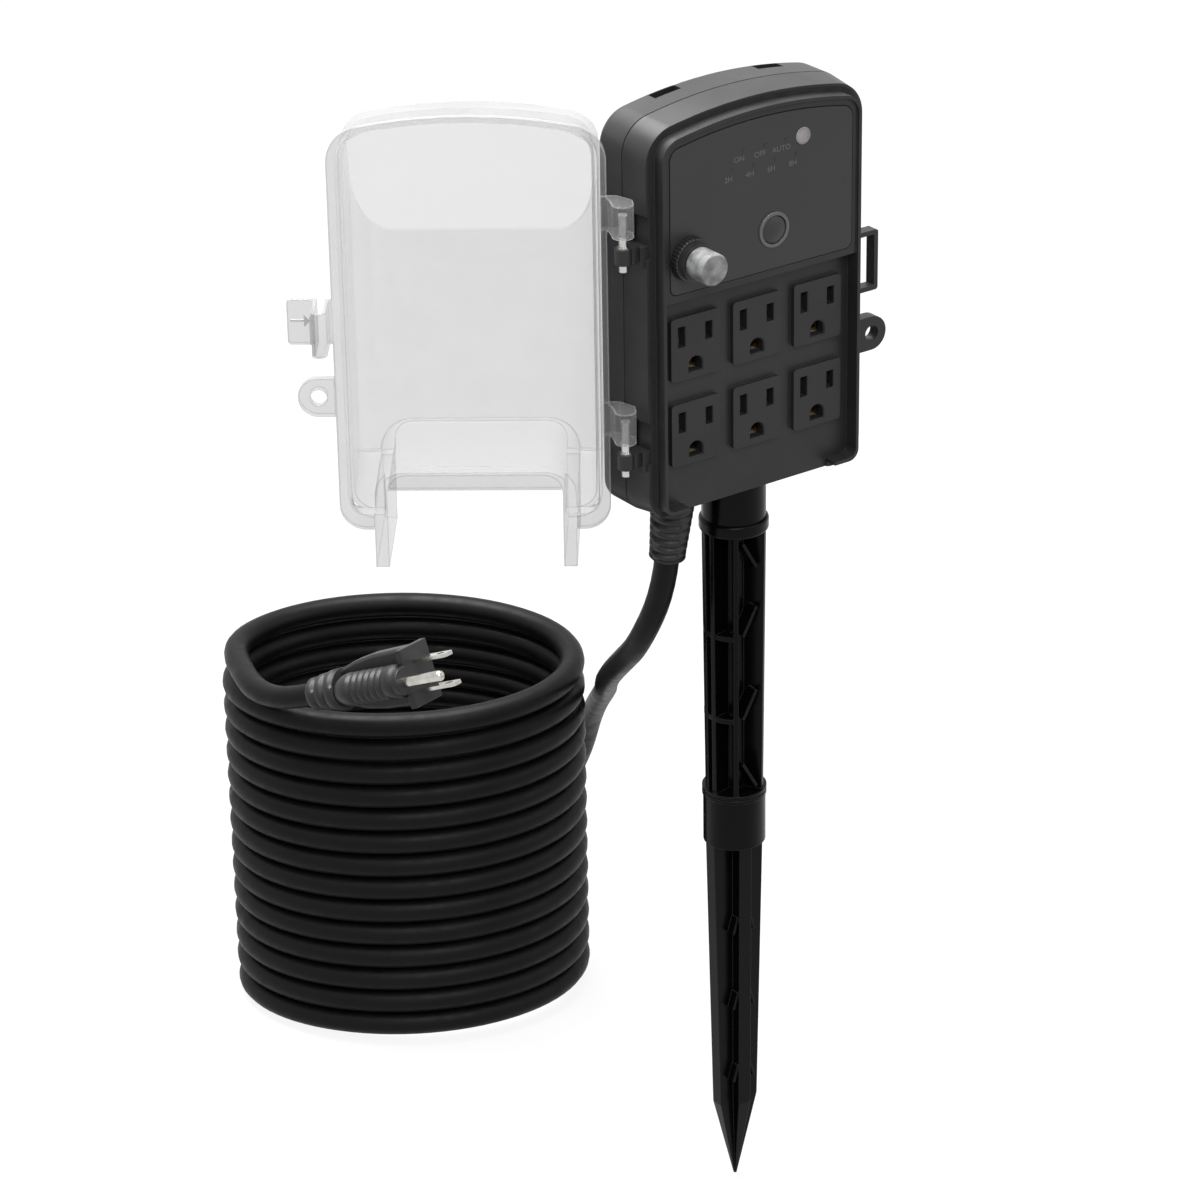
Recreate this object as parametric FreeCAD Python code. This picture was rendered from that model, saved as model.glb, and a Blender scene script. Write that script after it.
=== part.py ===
import FreeCAD, Part
import math
import os

V = FreeCAD.Vector
X_AXIS = V(1, 0, 0)
Y_AXIS = V(0, 1, 0)
Z_AXIS = V(0, 0, 1)

# Garden socket spike: a six-way weatherproof socket box with a light sensor and a
# timer button, on a push-together ground spike, with a clear swing cover and a
# coiled supply cord. Millimetres, +Z up. The origin is the spike's tip, the box
# faces -Y, and X runs to the right of someone who looks at the sockets.

# Ground spike, from the tip up
tip_length = 36.7
fin_length = 121.7
collar_height = 20.6
collar_radius = 12.5
disc_height = 3.5
disc_radius = 12.9
rib_length = 112.2
ring_height = 5.5
ring_radius = 13.7
neck_length = 14.2
neck_radius = 12.6
socket_bore = 10.6
spigot_length = 13.0
spigot_play = 0.1
lower_spigot_radius = 9.4
wide_fin_top = 12.2
wide_fin_low = 9.2
wide_fin_half = 2.7
deep_fin_top = 7.5
deep_fin_low = 6.6
deep_fin_half = 3.0
rib_radius_top = 13.0
rib_radius_low = 11.9
rib_thickness = 2.0
stake_core = 4.5
rib_angles = (33.5, 79.0, 101.0, 146.5)
rung_heights = (32.0, 68.0)
rung_thickness = 2.0
rung_gap_half = 5.6
web_thickness = 1.2
web_reach = 10.5
web_length = 13.0
web_leans = ((7.6, -30.0), (39.0, 30.0), (75.2, 30.0), (103.5, -30.0))
gusset_thickness = 1.0
gusset_depth = 4.3
gusset_length = 7.6
gusset_lean = -17.0
gusset_stand_off = 1.0
gusset_heights = (15.2, 49.3, 84.3)

# Socket box
half_width = 51.9
box_height = 161.6
box_depth = 29.0
front_to_axis = 14.0
front_depth = 13.0
front_draft = 1.3
seam_gap = 0.5
crown_radius = 204.0
top_corner = 14.0
low_corner = 10.0
wall = 2.2
back_round = 3.0
rim_side = 5.4
rim_top = 4.7
rim_low = 3.3
rim_stand = 5.0
lip_width = 1.3
lip_depth = 1.0
tray_depth = 6.1
panel_wall = 2.0
step_height = 88.8
mouth_half = 35.0
mouth_height = 12.0
seal_stop = 9.0
strap_offset = 24.0
strap_width = 12.0
strap_depth = 4.7
strap_length = 14.0
boss_radius = 4.0
boss_side = 10.0
boss_low = 12.5
boss_high = 23.0
pilot_radius = 1.3
pilot_play = 0.05
screw_head = 3.1
screw_sink = 6.0

# Socket outlets
column_pitch = 29.0
row_pitch = 34.65
top_row_height = 72.8
pad_width = 22.7
pad_above = 7.9
pad_below = 17.4
pad_stand = 2.1
pad_corner = 1.5
blade_offset = 6.35
ground_drop = 11.9
slot_width = 3.2
neutral_slot = 8.2
line_slot = 7.0
ground_width = 6.4
ground_height = 6.0
slot_chamfer = 0.35

# Control panel
panel_half = 42.6
panel_above_step = 3.0
panel_below_rim = 4.2
panel_thickness = 0.9
panel_proud = 0.15
panel_gap = 0.35
panel_corner = 5.0
button_x = 5.4
button_above_step = 18.5
button_ring_radius = 7.0
button_ring_width = 1.35
button_ring_proud = 0.6
button_play = 0.35
button_proud = 1.3
button_travel = 1.0
cell_from_flank = 17.8
cell_above_step = 16.3
knurl_radius = 8.6
knurl_length = 3.9
knurl_count = 36
cell_collar_radius = 7.4
cell_collar_length = 2.6
cell_cap_radius = 6.25
cell_cap_length = 9.4
cell_shank_radius = 5.0
cell_nut_radius = 7.2
cell_nut_height = 2.6
lens_from_flank = 32.8
lens_below_top = 20.2
lens_radius = 3.4
mark_radius = 0.8
mark_pitch = 10.0
upper_mark_x = -8.6
upper_mark_below_top = 20.2
lower_mark_x = -13.7
lower_mark_below_top = 26.8

# Parts on the control board
board_gap = 0.6
relay_edge = 5.3
relay_rise = 12.0
relay_width = 19.0
relay_depth = 13.0
relay_height = 15.0
relay_pitch = 19.0
core_edge = 7.3
core_rise = 10.0
core_width = 24.0
core_depth = 5.0
core_height = 21.0
winding_inset = 3.0
winding_depth = 9.0
can_edge = 23.3
can_rise = 38.0
can_radius = 5.0
can_length = 20.0

# Side fittings of the box
keeper_low = 70.4
keeper_open = 20.8
keeper_reach = 6.9
keeper_bar = 1.9
keeper_beam = 1.9
keeper_depth = 4.8
keeper_from_ledge = 2.0
lug_x = 5.7
lug_height = 51.0
lug_radius = 6.9
lug_hole = 3.15
lug_thickness = 5.0
lug_from_ledge = 1.4

# Hinges
hinge_reach = 5.6
hinge_behind_ledge = 5.05
pin_radius = 1.65
pin_play = 0.05
knuckle_radius = 4.15
knuckle_height = 12.8
knuckle_roof = 4.0
arm_rise = 2.0
box_knuckle_radius = 3.2
box_knuckle_height = 6.2
pin_bare = 4.3
pin_below = 3.0
washer_radius = 2.4
washer_height = 0.6
lower_hinge_height = 29.6
hinge_pitch = 82.2
notch_depth = 2.6
notch_height = 17.0

# Clear cover
cover_gap = 0.3
cover_wall = 2.0
flange_thickness = 2.2
cover_side = 0.4
cover_drop = 3.9
cover_crown_below = 1.0
cover_depth = 50.0
crown_depth = 24.0
ramp_foot_height = 99.2
ramp_head_below = 5.0
dome_side = 3.9
dome_round = 16.0
dome_draft_top = 3.0
dome_draft_low = 8.0
roof_height = 19.6
roof_rise = 2.0
leg_drop = 19.6
leg_inner = 33.3
leg_thickness = 5.2
leg_depth = 46.0
roof_lip = 7.4
channel_corner = 7.0
rim_relief = 0.6
cover_lug_radius = 7.8
cover_lug_thickness = 3.0
lug_gap = 0.3
lug_clearance = 0.6
open_angle = 217.0

# Cover latch
latch_gap = 0.2
latch_blade = 1.4
latch_stand_off = 0.7
latch_bend = 1.45
latch_reach = 11.5
latch_height = 17.5
latch_plate_reach = 10.0
latch_plate_height = 18.0
barb_length = 2.2
barb_catch = 0.4
barb_play = 0.3

# Supply cord
cord_radius = 4.9
relief_from_flank = 21.9
relief_lean = 9.0
relief_length = 25.0
relief_top_radius = 8.5
relief_low_radius = 7.3
relief_rings = 6
relief_groove = 0.9
relief_neck = 6.3
relief_flange = 7.9
inner_cord_length = 14.0
clamp_width = 14.0
clamp_depth = 13.0
clamp_height = 5.0
clamp_rise = 3.2
core_radius = 1.15
core_spread = 2.6
core_climb = 12.0
terminal_width = 22.0
terminal_depth = 7.6
terminal_height = 8.0
terminal_rise = 11.5
coil_x = -17.8
coil_y = 214.3
coil_long_radius = 73.5
coil_short_radius = 54.0
coil_bearing = -35.3
coil_pitch = 11.2
coil_turns = 14
coil_start_angle = 150.0
coil_extra_angle = 47.0
coil_start_height = 5.0

# Plug on the cord's far end
plug_heading = -66.0
plug_pitch = 22.0
plug_roll = -6.0
tail_run = 13.0
tail_turns = 3
plug_relief_length = 17.0
plug_relief_radius = 6.5
plug_relief_rings = 4
plug_relief_growth = 0.5
plug_flare_length = 8.0
plug_grip_length = 27.0
plug_flange_thickness = 3.0
plug_flange_half = 12.7
plug_flange_low = -5.5
plug_flange_high = 13.5
plug_flange_radius = 5.8
plug_web_thickness = 8.0
plug_web_halves = (8.2, 10.6, 12.5)
plug_barrel_radius = 7.2
plug_barrel_shift = 2.8
plug_barrel_start = 2.0
plug_barrel_cone = 6.0
plug_groove_count = 5
plug_groove_pitch = 3.3
plug_groove_width = 1.3
plug_groove_depth = 0.9
plug_blade_shift = 4.0
blade_root = 2.5
blade_tip = 1.2
blade_hole_radius = 1.6
blade_hole_from_tip = 4.6
blade_length = 17.5
blade_width = 6.35
blade_thickness = 1.5
ground_pin_length = 20.5
ground_pin_radius = 2.35

# Heights and depths that follow
z_shoulder = tip_length
z_collar = z_shoulder + fin_length
z_disc = z_collar + collar_height
z_ribs = z_disc + disc_height
z_ring = z_ribs + rib_length
z_neck = z_ring + ring_height
z_low = z_neck + neck_length
z_high = z_low + box_height
z_step = z_low + step_height
z_row = z_low + top_row_height
y_ledge = -front_to_axis
y_seam = y_ledge + front_depth
y_back = y_ledge + box_depth
y_rim = y_ledge - rim_stand
y_plateau = y_rim + lip_depth
y_tray = y_rim + tray_depth
y_pad = y_tray - pad_stand
y_flange = y_ledge - cover_gap
x_hinge = -(half_width + hinge_reach)
y_hinge = y_ledge + hinge_behind_ledge
hinge_levels = (z_low + lower_hinge_height, z_low + lower_hinge_height + hinge_pitch)
y_board = y_tray + wall + 0.7
board_thickness = 1.6
y_carrier = y_tray + wall + 0.1
carrier_depth = 4.6
bus_thickness = 0.8
bus_step = 2.0
y_cord = y_seam
y_lug = y_ledge + lug_from_ledge
z_button = z_step + button_above_step
x_cell = -(half_width - cell_from_flank)
z_cell = z_step + cell_above_step
x_lens = half_width - lens_from_flank
z_lens = z_high - lens_below_top
x_cord = -(half_width - relief_from_flank)
board_half = half_width - boss_side - boss_radius - board_gap


def cylinder(radius, start, end):
    span = end - start
    return Part.makeCylinder(radius, span.Length, start, span)


def block(x0, x1, y0, y1, z0, z1):
    return Part.makeBox(x1 - x0, y1 - y0, z1 - z0, V(x0, y0, z0))


def fuse_all(shapes):
    shapes = list(shapes)
    if len(shapes) == 1:
        return shapes[0]
    return shapes[0].multiFuse(shapes[1:])


def cut_all(shape, tools):
    return shape.cut(list(tools))


def crowned_outline(y, half, low, high, top_round, low_round, crown=crown_radius):
    """Closed wire in a plane of constant Y: straight sides and foot, crowned top."""
    crown_z = high - crown
    corner_x = half - top_round
    corner_z = crown_z + math.sqrt((crown - top_round) ** 2 - corner_x ** 2)
    reach = math.hypot(corner_x, corner_z - crown_z)
    touch = (crown * corner_x / reach, crown_z + crown * (corner_z - crown_z) / reach)
    mid_angle = 0.5 * math.atan2(corner_z - crown_z, corner_x)
    bulge = (corner_x + top_round * math.cos(mid_angle), corner_z + top_round * math.sin(mid_angle))
    bend = low_round * (1 - math.sqrt(0.5))

    def at(x, z):
        return V(x, y, z)

    edges = [
        Part.LineSegment(at(-half + low_round, low), at(half - low_round, low)),
        Part.Arc(at(half - low_round, low), at(half - bend, low + bend), at(half, low + low_round)),
        Part.LineSegment(at(half, low + low_round), at(half, corner_z)),
        Part.Arc(at(half, corner_z), at(*bulge), at(*touch)),
        Part.Arc(at(*touch), at(0, high), at(-touch[0], touch[1])),
        Part.Arc(at(-touch[0], touch[1]), at(-bulge[0], bulge[1]), at(-half, corner_z)),
        Part.LineSegment(at(-half, corner_z), at(-half, low + low_round)),
        Part.Arc(at(-half, low + low_round), at(-half + bend, low + bend), at(-half + low_round, low)),
    ]
    return Part.Wire([edge.toShape() for edge in edges])


def crowned_prism(y0, y1, *outline):
    face = Part.Face(crowned_outline(y0, *outline))
    return face.extrude(V(0, y1 - y0, 0))


def box_outline(inset=0.0):
    return (half_width - inset, z_low + inset, z_high - inset,
            top_corner - inset, max(low_corner - inset, 1.0), crown_radius - inset)


def drafted_shell(y0, y1, inset):
    """Solid between the ledge and the seam that follows the front shell's draft."""
    wires = []
    for y in (y0, y1):
        share = front_draft * (y_seam - y) / front_depth + inset
        wires.append(crowned_outline(y, half_width - share, z_low + share, z_high - share,
                                     top_corner - inset, low_corner - inset, crown_radius))
    return Part.makeLoft(wires, True, True)


def rim_outline(inset=0.0):
    return (half_width - rim_side - inset, z_low + rim_low + inset, z_high - rim_top - inset,
            top_corner - rim_side - inset, max(low_corner - rim_side - inset, 1.0),
            crown_radius - rim_top - inset)


def panel_outline(inset=0.0):
    low = z_step + panel_above_step
    high = z_high - rim_top - panel_below_rim
    return (panel_half - inset, low + inset, high - inset, panel_corner - inset * 0.5, 3.0,
            crown_radius - rim_top - panel_below_rim - inset)


def rounded_block(x0, x1, y0, y1, z0, z1, radius):
    """Box whose four edges along Y are rounded."""
    box = block(x0, x1, y0, y1, z0, z1)
    edges = [e for e in box.Edges if abs(e.tangentAt(e.FirstParameter).y) > 0.99]
    return box.makeFillet(radius, edges)


def tapered_hole(x0, x1, z0, z1, y_mouth, y_end, flare):
    """Rectangular hole along Y with a chamfered mouth."""
    def ring(y, grow):
        points = [V(x0 - grow, y, z0 - grow), V(x1 + grow, y, z0 - grow),
                  V(x1 + grow, y, z1 + grow), V(x0 - grow, y, z1 + grow)]
        return Part.makePolygon(points + points[:1])
    mouth = Part.makeLoft([ring(y_mouth - 0.1, flare + 0.1), ring(y_mouth + flare, 0)], True, True)
    return mouth.fuse(block(x0, x1, y_mouth, y_end, z0, z1))


def arched_hole(x, z, width, height, y0, y1):
    """Hole with a flat foot and a round head, along Y."""
    half = width / 2
    foot = z - height / 2
    head = z + height / 2 - half
    edges = [
        Part.LineSegment(V(x - half, y0, foot), V(x + half, y0, foot)),
        Part.LineSegment(V(x + half, y0, foot), V(x + half, y0, head)),
        Part.Arc(V(x + half, y0, head), V(x, y0, head + half), V(x - half, y0, head)),
        Part.LineSegment(V(x - half, y0, head), V(x - half, y0, foot)),
    ]
    wire = Part.Wire([edge.toShape() for edge in edges])
    return Part.Face(wire).extrude(V(0, y1 - y0, 0))


def outlets():
    """Centre of each outlet's blade line, row by row."""
    for row in range(2):
        for column in (-1, 0, 1):
            yield column * column_pitch, z_row - row * row_pitch


def boss_places():
    side = half_width - boss_side
    for x in (-side, side):
        for z in (z_low + boss_low, z_high - boss_high):
            yield x, z


def mark_places():
    for i in range(3):
        yield upper_mark_x + i * mark_pitch, z_high - upper_mark_below_top
    for i in range(4):
        yield lower_mark_x + i * mark_pitch, z_high - lower_mark_below_top


def along_y(radius, x, z, y0, y1):
    return cylinder(radius, V(x, y0, z), V(x, y1, z))


def outlet_pads():
    pads = []
    for x, z in outlets():
        pads.append(rounded_block(x - pad_width / 2, x + pad_width / 2, y_pad, y_tray + 0.5,
                                  z - pad_below, z + pad_above, pad_corner))
    return pads


def outlet_holes(y_end):
    holes = []
    for x, z in outlets():
        for side, height in ((-1, neutral_slot), (1, line_slot)):
            centre = x + side * blade_offset
            holes.append(tapered_hole(centre - slot_width / 2, centre + slot_width / 2,
                                      z - height / 2, z + height / 2, y_pad, y_end, slot_chamfer))
        holes.append(arched_hole(x, z - ground_drop, ground_width, ground_height, y_pad - 0.5, y_end))
        holes.append(arched_hole(x, z - ground_drop, ground_width + 2 * slot_chamfer,
                                 ground_height + 2 * slot_chamfer, y_pad - 0.5, y_pad + slot_chamfer))
    return holes


def panel_holes(y0, y1):
    holes = [along_y(button_ring_radius, button_x, z_button, y0, y1)]
    holes.append(along_y(cell_shank_radius, x_cell, z_cell, y0, y1))
    holes.append(along_y(lens_radius, x_lens, z_lens, y0, y1))
    for x, z in mark_places():
        holes.append(along_y(mark_radius, x, z, y0, y1))
    return holes


def keeper_loop():
    """Loop on the right flank that the cover's latch passes through."""
    y0 = y_ledge + keeper_from_ledge
    z0 = z_low + keeper_low
    outer = block(half_width - 1, half_width + keeper_reach + keeper_bar, y0, y0 + keeper_depth,
                  z0 - keeper_beam, z0 + keeper_open + keeper_beam)
    corners = [e for e in outer.Edges if abs(e.tangentAt(e.FirstParameter).y) > 0.99
               and e.CenterOfMass.x > half_width]
    outer = outer.makeFillet(1.2, corners)
    return outer.cut(block(half_width, half_width + keeper_reach, y0 - 1, y0 + keeper_depth + 1,
                           z0, z0 + keeper_open))


def padlock_lug(radius, y0, y1):
    """Ear on the right side with a hole for a padlock shackle."""
    x = half_width + lug_x
    z = z_low + lug_height
    ear = along_y(radius, x, z, y0, y1)
    root = block(half_width - 0.5, x, y0, y1, z - radius, z + radius)
    return ear.fuse(root).cut(along_y(lug_hole, x, z, y0 - 1, y1 + 1))


def box_knuckle(level):
    """Knuckle and plate on the left flank that hold one hinge pin."""
    top = level
    low = level - box_knuckle_height
    knuckle = cylinder(box_knuckle_radius, V(x_hinge, y_hinge, low), V(x_hinge, y_hinge, top))
    web = block(x_hinge, -half_width + 0.5, y_hinge - 2.2, y_hinge + 2.2, low, top)
    plate = block(-half_width - 0.6, -half_width + notch_depth + 1, y_hinge - 4.0, y_hinge + 4.0,
                  low - 2.0, top)
    bore = cylinder(pin_radius, V(x_hinge, y_hinge, low - 1), V(x_hinge, y_hinge, top + 1))
    return fuse_all([knuckle, web, plate]).cut(bore)


def hinge_notch(level):
    """Recess in the left flank beside one hinge, as deep as its plate is tall."""
    low = level - box_knuckle_height + 1.0
    return block(-half_width - 2, -half_width + notch_depth, y_ledge - 1, y_hinge + 4.2,
                 low, low + notch_height)


def bottom_holes():
    """Round ways through the floor of the box for the stake's neck and the cord."""
    top = z_low + wall + front_draft + 0.2
    neck = cylinder(neck_radius, V(0, 0, z_low - 1), V(0, 0, top))
    relief = cylinder(relief_neck, V(x_cord, y_cord, z_low - 1), V(x_cord, y_cord, top))
    return [neck, relief]


def seal_groove():
    ring = crowned_prism(y_ledge, y_ledge + 1.0, *rim_outline(-2.2))
    ring = ring.cut(crowned_prism(y_ledge - 1, y_ledge + 2, *rim_outline(-0.2)))
    mouth = block(-mouth_half - 1, mouth_half + 1, y_ledge - 1, y_ledge + 2, z_low - 1, z_low + seal_stop)
    return ring.cut(mouth)


def make_front_housing():
    y_end = y_seam - seam_gap / 2
    body = drafted_shell(y_ledge, y_end, 0.0)
    rim = crowned_prism(y_rim, y_ledge + 0.5, *rim_outline())
    body = body.fuse(rim)
    body = body.cut(crowned_prism(y_rim - 1, y_plateau, *rim_outline(lip_width)))
    below_step = block(-half_width, half_width, y_rim - 1, y_tray, z_low - 1, z_step)
    tray = crowned_prism(y_rim - 1, y_tray, *rim_outline(lip_width)).common(below_step)
    mouth = block(-mouth_half, mouth_half, y_rim - 1, y_tray, z_low - 1, z_low + mouth_height)
    hollow = drafted_shell(y_tray + wall, y_end + 0.5, wall)
    above_step = block(-half_width, half_width, y_plateau, y_tray + wall + 0.5, z_step + wall, z_high)
    upper = crowned_prism(y_plateau + panel_wall, y_tray + wall + 0.5, *rim_outline(lip_width + wall))
    body = cut_all(body, [tray, mouth, hollow, upper.common(above_step)])
    bosses = []
    for x, z in boss_places():
        y0 = y_plateau + 0.5 if z > z_step else y_tray + 0.5
        bosses.append(along_y(boss_radius, x, z, y0, y_end))
    body = fuse_all([body] + outlet_pads() + bosses)
    body = cut_all(body, [hinge_notch(level) for level in hinge_levels])
    body = fuse_all([body, keeper_loop(), padlock_lug(lug_radius, y_lug, y_lug + lug_thickness)]
                    + [box_knuckle(level) for level in hinge_levels])
    tools = outlet_holes(y_tray + wall + 1)
    tools += panel_holes(y_rim - 1, y_plateau + panel_wall + 1)
    tools += [crowned_prism(y_plateau - 0.1, y_plateau + panel_thickness - panel_proud,
                            *panel_outline(-panel_gap))]
    tools += bottom_holes()
    tools.append(seal_groove())
    for x, z in boss_places():
        tools.append(along_y(pilot_radius, x, z, y_end - 9.0, y_end + 1))
    return cut_all(body, tools).removeSplitter()


def strap_pockets(grow=0.0):
    """Two slots in the crown near the back, each a blind pocket."""
    y1 = y_back - wall - 0.4
    y0 = y1 - strap_depth
    low = z_high - strap_length
    half = strap_width / 2 + grow
    pockets = []
    for x in (-strap_offset, strap_offset):
        pockets.append(block(x - half, x + half, y0 - grow, y1 + grow, low - grow, z_high - grow))
    return pockets


def make_rear_housing():
    y_start = y_seam + seam_gap / 2
    body = crowned_prism(y_start, y_back, *box_outline())
    rear_edges = [e for e in body.Edges if abs(e.CenterOfMass.y - y_back) < 0.01]
    body = body.makeFillet(back_round, rear_edges)
    body = body.cut(crowned_prism(y_start - 1, y_back - wall, *box_outline(wall)))
    inside = crowned_prism(y_start, y_back - 1, *box_outline(wall - 0.5))
    extra = [along_y(boss_radius + 0.6, x, z, y_start, y_back - 1) for x, z in boss_places()]
    extra += [pocket.common(inside) for pocket in strap_pockets(1.6)]
    body = fuse_all([body] + extra)
    tools = strap_pockets() + bottom_holes()
    for x, z in boss_places():
        tools.append(along_y(pilot_radius + 0.5, x, z, y_start - 1, y_back + 1))
        tools.append(along_y(screw_head + 0.3, x, z, y_back - screw_sink, y_back + 1))
    return cut_all(body, tools).removeSplitter()


def make_housing_gasket():
    y0 = y_seam - seam_gap / 2
    ring = crowned_prism(y0, y0 + seam_gap, *box_outline(0.7 + front_draft * seam_gap / front_depth))
    ring = ring.cut(crowned_prism(y0 - 1, y0 + 2, *box_outline(wall)))
    between = block(x_cord, 0, y_seam - 2, y_seam + 2, z_low - 1, z_low + wall + 1)
    return cut_all(ring, bottom_holes() + [between])


def make_cover_seal():
    return seal_groove()


def make_screws():
    screws = {}
    for number, (x, z) in enumerate(boss_places(), 1):
        seat = y_back - screw_sink
        head = along_y(screw_head, x, z, seat, seat + 2.2)
        shank = along_y(pilot_radius - pilot_play, x, z, y_seam - 7.0, seat)
        cross = block(x - 1.9, x + 1.9, seat + 1.0, seat + 3, z - 0.4, z + 0.4)
        cross = cross.fuse(block(x - 0.4, x + 0.4, seat + 1.0, seat + 3, z - 1.9, z + 1.9))
        screws["housing_screw_%d" % number] = head.fuse(shank).cut(cross)
    return screws


def make_control_panel():
    y0 = y_plateau - panel_proud
    plate = crowned_prism(y0, y0 + panel_thickness, *panel_outline())
    return cut_all(plate, panel_holes(y0 - 1, y0 + panel_thickness + 1))


def make_stake_socket():
    """Neck under the box with a bore for the stake and a flange held between the shells."""
    seat = z_low + wall + front_draft
    tube = cylinder(neck_radius, V(0, 0, z_neck), V(0, 0, seat))
    flange = cylinder(neck_radius + 1.8, V(0, 0, seat), V(0, 0, seat + 2.2))
    room = block(-20, 20, y_tray + wall + 0.05, y_back - wall - 0.05, seat, seat + 3)
    bore = cylinder(socket_bore, V(0, 0, z_neck - 1), V(0, 0, z_neck + spigot_length + 1.0))
    return fuse_all([tube, flange.common(room)]).cut(bore)


def make_button_ring():
    y0 = y_plateau - panel_proud - button_ring_proud
    y1 = y_plateau + panel_wall + 1.0
    ring = along_y(button_ring_radius, button_x, z_button, y0, y1)
    edge = [e for e in ring.Edges if abs(e.CenterOfMass.y - y0) < 0.01]
    ring = ring.makeFillet(0.35, edge)
    return ring.cut(along_y(button_ring_radius - button_ring_width, button_x, z_button, y0 - 1, y1 + 1))


def make_button_cap():
    radius = button_ring_radius - button_ring_width - button_play
    y0 = y_plateau - panel_proud - button_proud
    y1 = y_plateau + panel_wall + 1.4
    cap = along_y(radius, button_x, z_button, y0, y1)
    dome = Part.makeSphere(radius * 2.6, V(button_x, y0 + radius * 2.6, z_button))
    cap = cap.common(dome)
    flange = along_y(radius + 1.0, button_x, z_button, y1, y1 + 1.0)
    return cap.fuse(flange)


def make_tact_switch():
    y0 = y_plateau + panel_wall + 2.4 + button_travel + 0.3
    body = block(button_x - 3, button_x + 3, y0 + 0.8, y_board, z_button - 3, z_button + 3)
    return body.fuse(along_y(1.7, button_x, z_button, y0, y0 + 1.0))


def make_photocell():
    front = y_plateau - panel_proud
    knurl_end = front - knurl_length
    collar_end = knurl_end - cell_collar_length
    cap_end = collar_end - cell_cap_length
    ring = along_y(knurl_radius, x_cell, z_cell, knurl_end, front)
    rim_edges = [e for e in ring.Edges if abs(e.CenterOfMass.y - knurl_end) < 0.01]
    ring = ring.makeFillet(0.5, rim_edges)
    grooves = []
    for i in range(knurl_count):
        angle = math.radians(360.0 / knurl_count * i)
        x = x_cell + (knurl_radius + 0.1) * math.cos(angle)
        z = z_cell + (knurl_radius + 0.1) * math.sin(angle)
        grooves.append(along_y(0.42, x, z, knurl_end - 1, front + 1))
    ring = cut_all(ring, grooves)
    collar = along_y(cell_collar_radius, x_cell, z_cell, collar_end, knurl_end)
    shank = along_y(cell_shank_radius, x_cell, z_cell, front, y_board - 0.6)
    bore = along_y(3.4, x_cell, z_cell, collar_end - 1, y_board)
    base = fuse_all([ring, collar, shank]).cut(bore)
    y_nut = y_plateau + panel_wall
    nut = along_y(cell_nut_radius, x_cell, z_cell, y_nut, y_nut + cell_nut_height)
    nut = nut.cut(along_y(cell_shank_radius, x_cell, z_cell, y_nut - 1, y_nut + cell_nut_height + 1))
    cap = along_y(cell_cap_radius, x_cell, z_cell, cap_end, collar_end)
    tip_edges = [e for e in cap.Edges if abs(e.CenterOfMass.y - cap_end) < 0.01]
    cap = cap.makeFillet(0.9, tip_edges)
    cap = cap.cut(along_y(cell_cap_radius - 1.3, x_cell, z_cell, cap_end + 1.4, collar_end + 1))
    stem = along_y(1.6, x_cell, z_cell, collar_end - 1.0, y_board)
    head = along_y(2.6, x_cell, z_cell, collar_end - 3.0, collar_end - 1.0)
    return {"photocell_base": base, "photocell_nut": nut, "photocell_cap": cap,
            "photocell_sensor": stem.fuse(head)}


def make_remote_eye():
    front = y_plateau - panel_proud - 0.35
    lens = along_y(lens_radius, x_lens, z_lens, front, y_plateau + panel_wall)
    rim_edges = [e for e in lens.Edges if abs(e.CenterOfMass.y - front) < 0.01]
    lens = lens.makeFillet(0.3, rim_edges)
    lens = lens.cut(along_y(lens_radius - 1.0, x_lens, z_lens, front + 1.2, y_board))
    bulb = Part.makeSphere(1.5, V(x_lens, front + 3.0, z_lens))
    receiver = fuse_all([along_y(1.5, x_lens, z_lens, front + 3.0, y_board - 2), bulb,
                         block(x_lens - 2.2, x_lens + 2.2, y_board - 2, y_board, z_lens - 2.2, z_lens + 2.2)])
    return {"remote_lens": lens, "remote_receiver": receiver}


def make_indicator_pipes():
    pipes = {}
    for number, (x, z) in enumerate(mark_places(), 1):
        y0 = y_plateau - panel_proud - 0.1
        pipes["indicator_%d" % number] = along_y(mark_radius, x, z, y0, y_board - 1.2)
    return pipes


def make_control_board():
    low = z_step + wall + 1.5
    high = z_high - wall - 14.0
    board = rounded_block(-board_half, board_half, y_board, y_board + board_thickness, low, high, 3.0)
    chips = []
    for x, z in mark_places():
        chips.append(block(x - 1.2, x + 1.2, y_board - 1.1, y_board, z - 0.9, z + 0.9))
    return fuse_all([board] + chips)


def make_board_parts():
    """Two relays over each other, a transformer and a can capacitor behind the board."""
    y0 = y_board + board_thickness
    z0 = z_step + wall
    parts = {}
    for name, level in (("relay_left", 0), ("relay_upper", 1)):
        x = -board_half + relay_edge
        z = z0 + relay_rise + level * relay_pitch
        parts[name] = block(x, x + relay_width, y0, y0 + relay_depth, z, z + relay_height)
    x1 = board_half - core_edge
    x0 = x1 - core_width
    z = z0 + core_rise
    y_winding = y0 + core_depth
    core = block(x0, x1, y0, y_winding, z, z + core_height)
    winding = block(x0 + winding_inset, x1 - winding_inset, y_winding, y_winding + winding_depth,
                    z + winding_inset, z + core_height - winding_inset)
    parts["transformer"] = core.fuse(winding)
    x1 = board_half - can_edge
    x0 = x1 - can_length
    z = z0 + can_rise
    y_can = y0 + can_radius + 0.2
    can = cylinder(can_radius, V(x0, y_can, z), V(x1, y_can, z))
    foot = block(x0 + 3, x1 - 3, y0, y0 + 1.5, z - 1, z + 1)
    parts["capacitor"] = can.fuse(foot)
    return parts


def contact_slot(x, z, half_x, half_z, y0, y1):
    return block(x - half_x, x + half_x, y0, y1, z - half_z, z + half_z)


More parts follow.
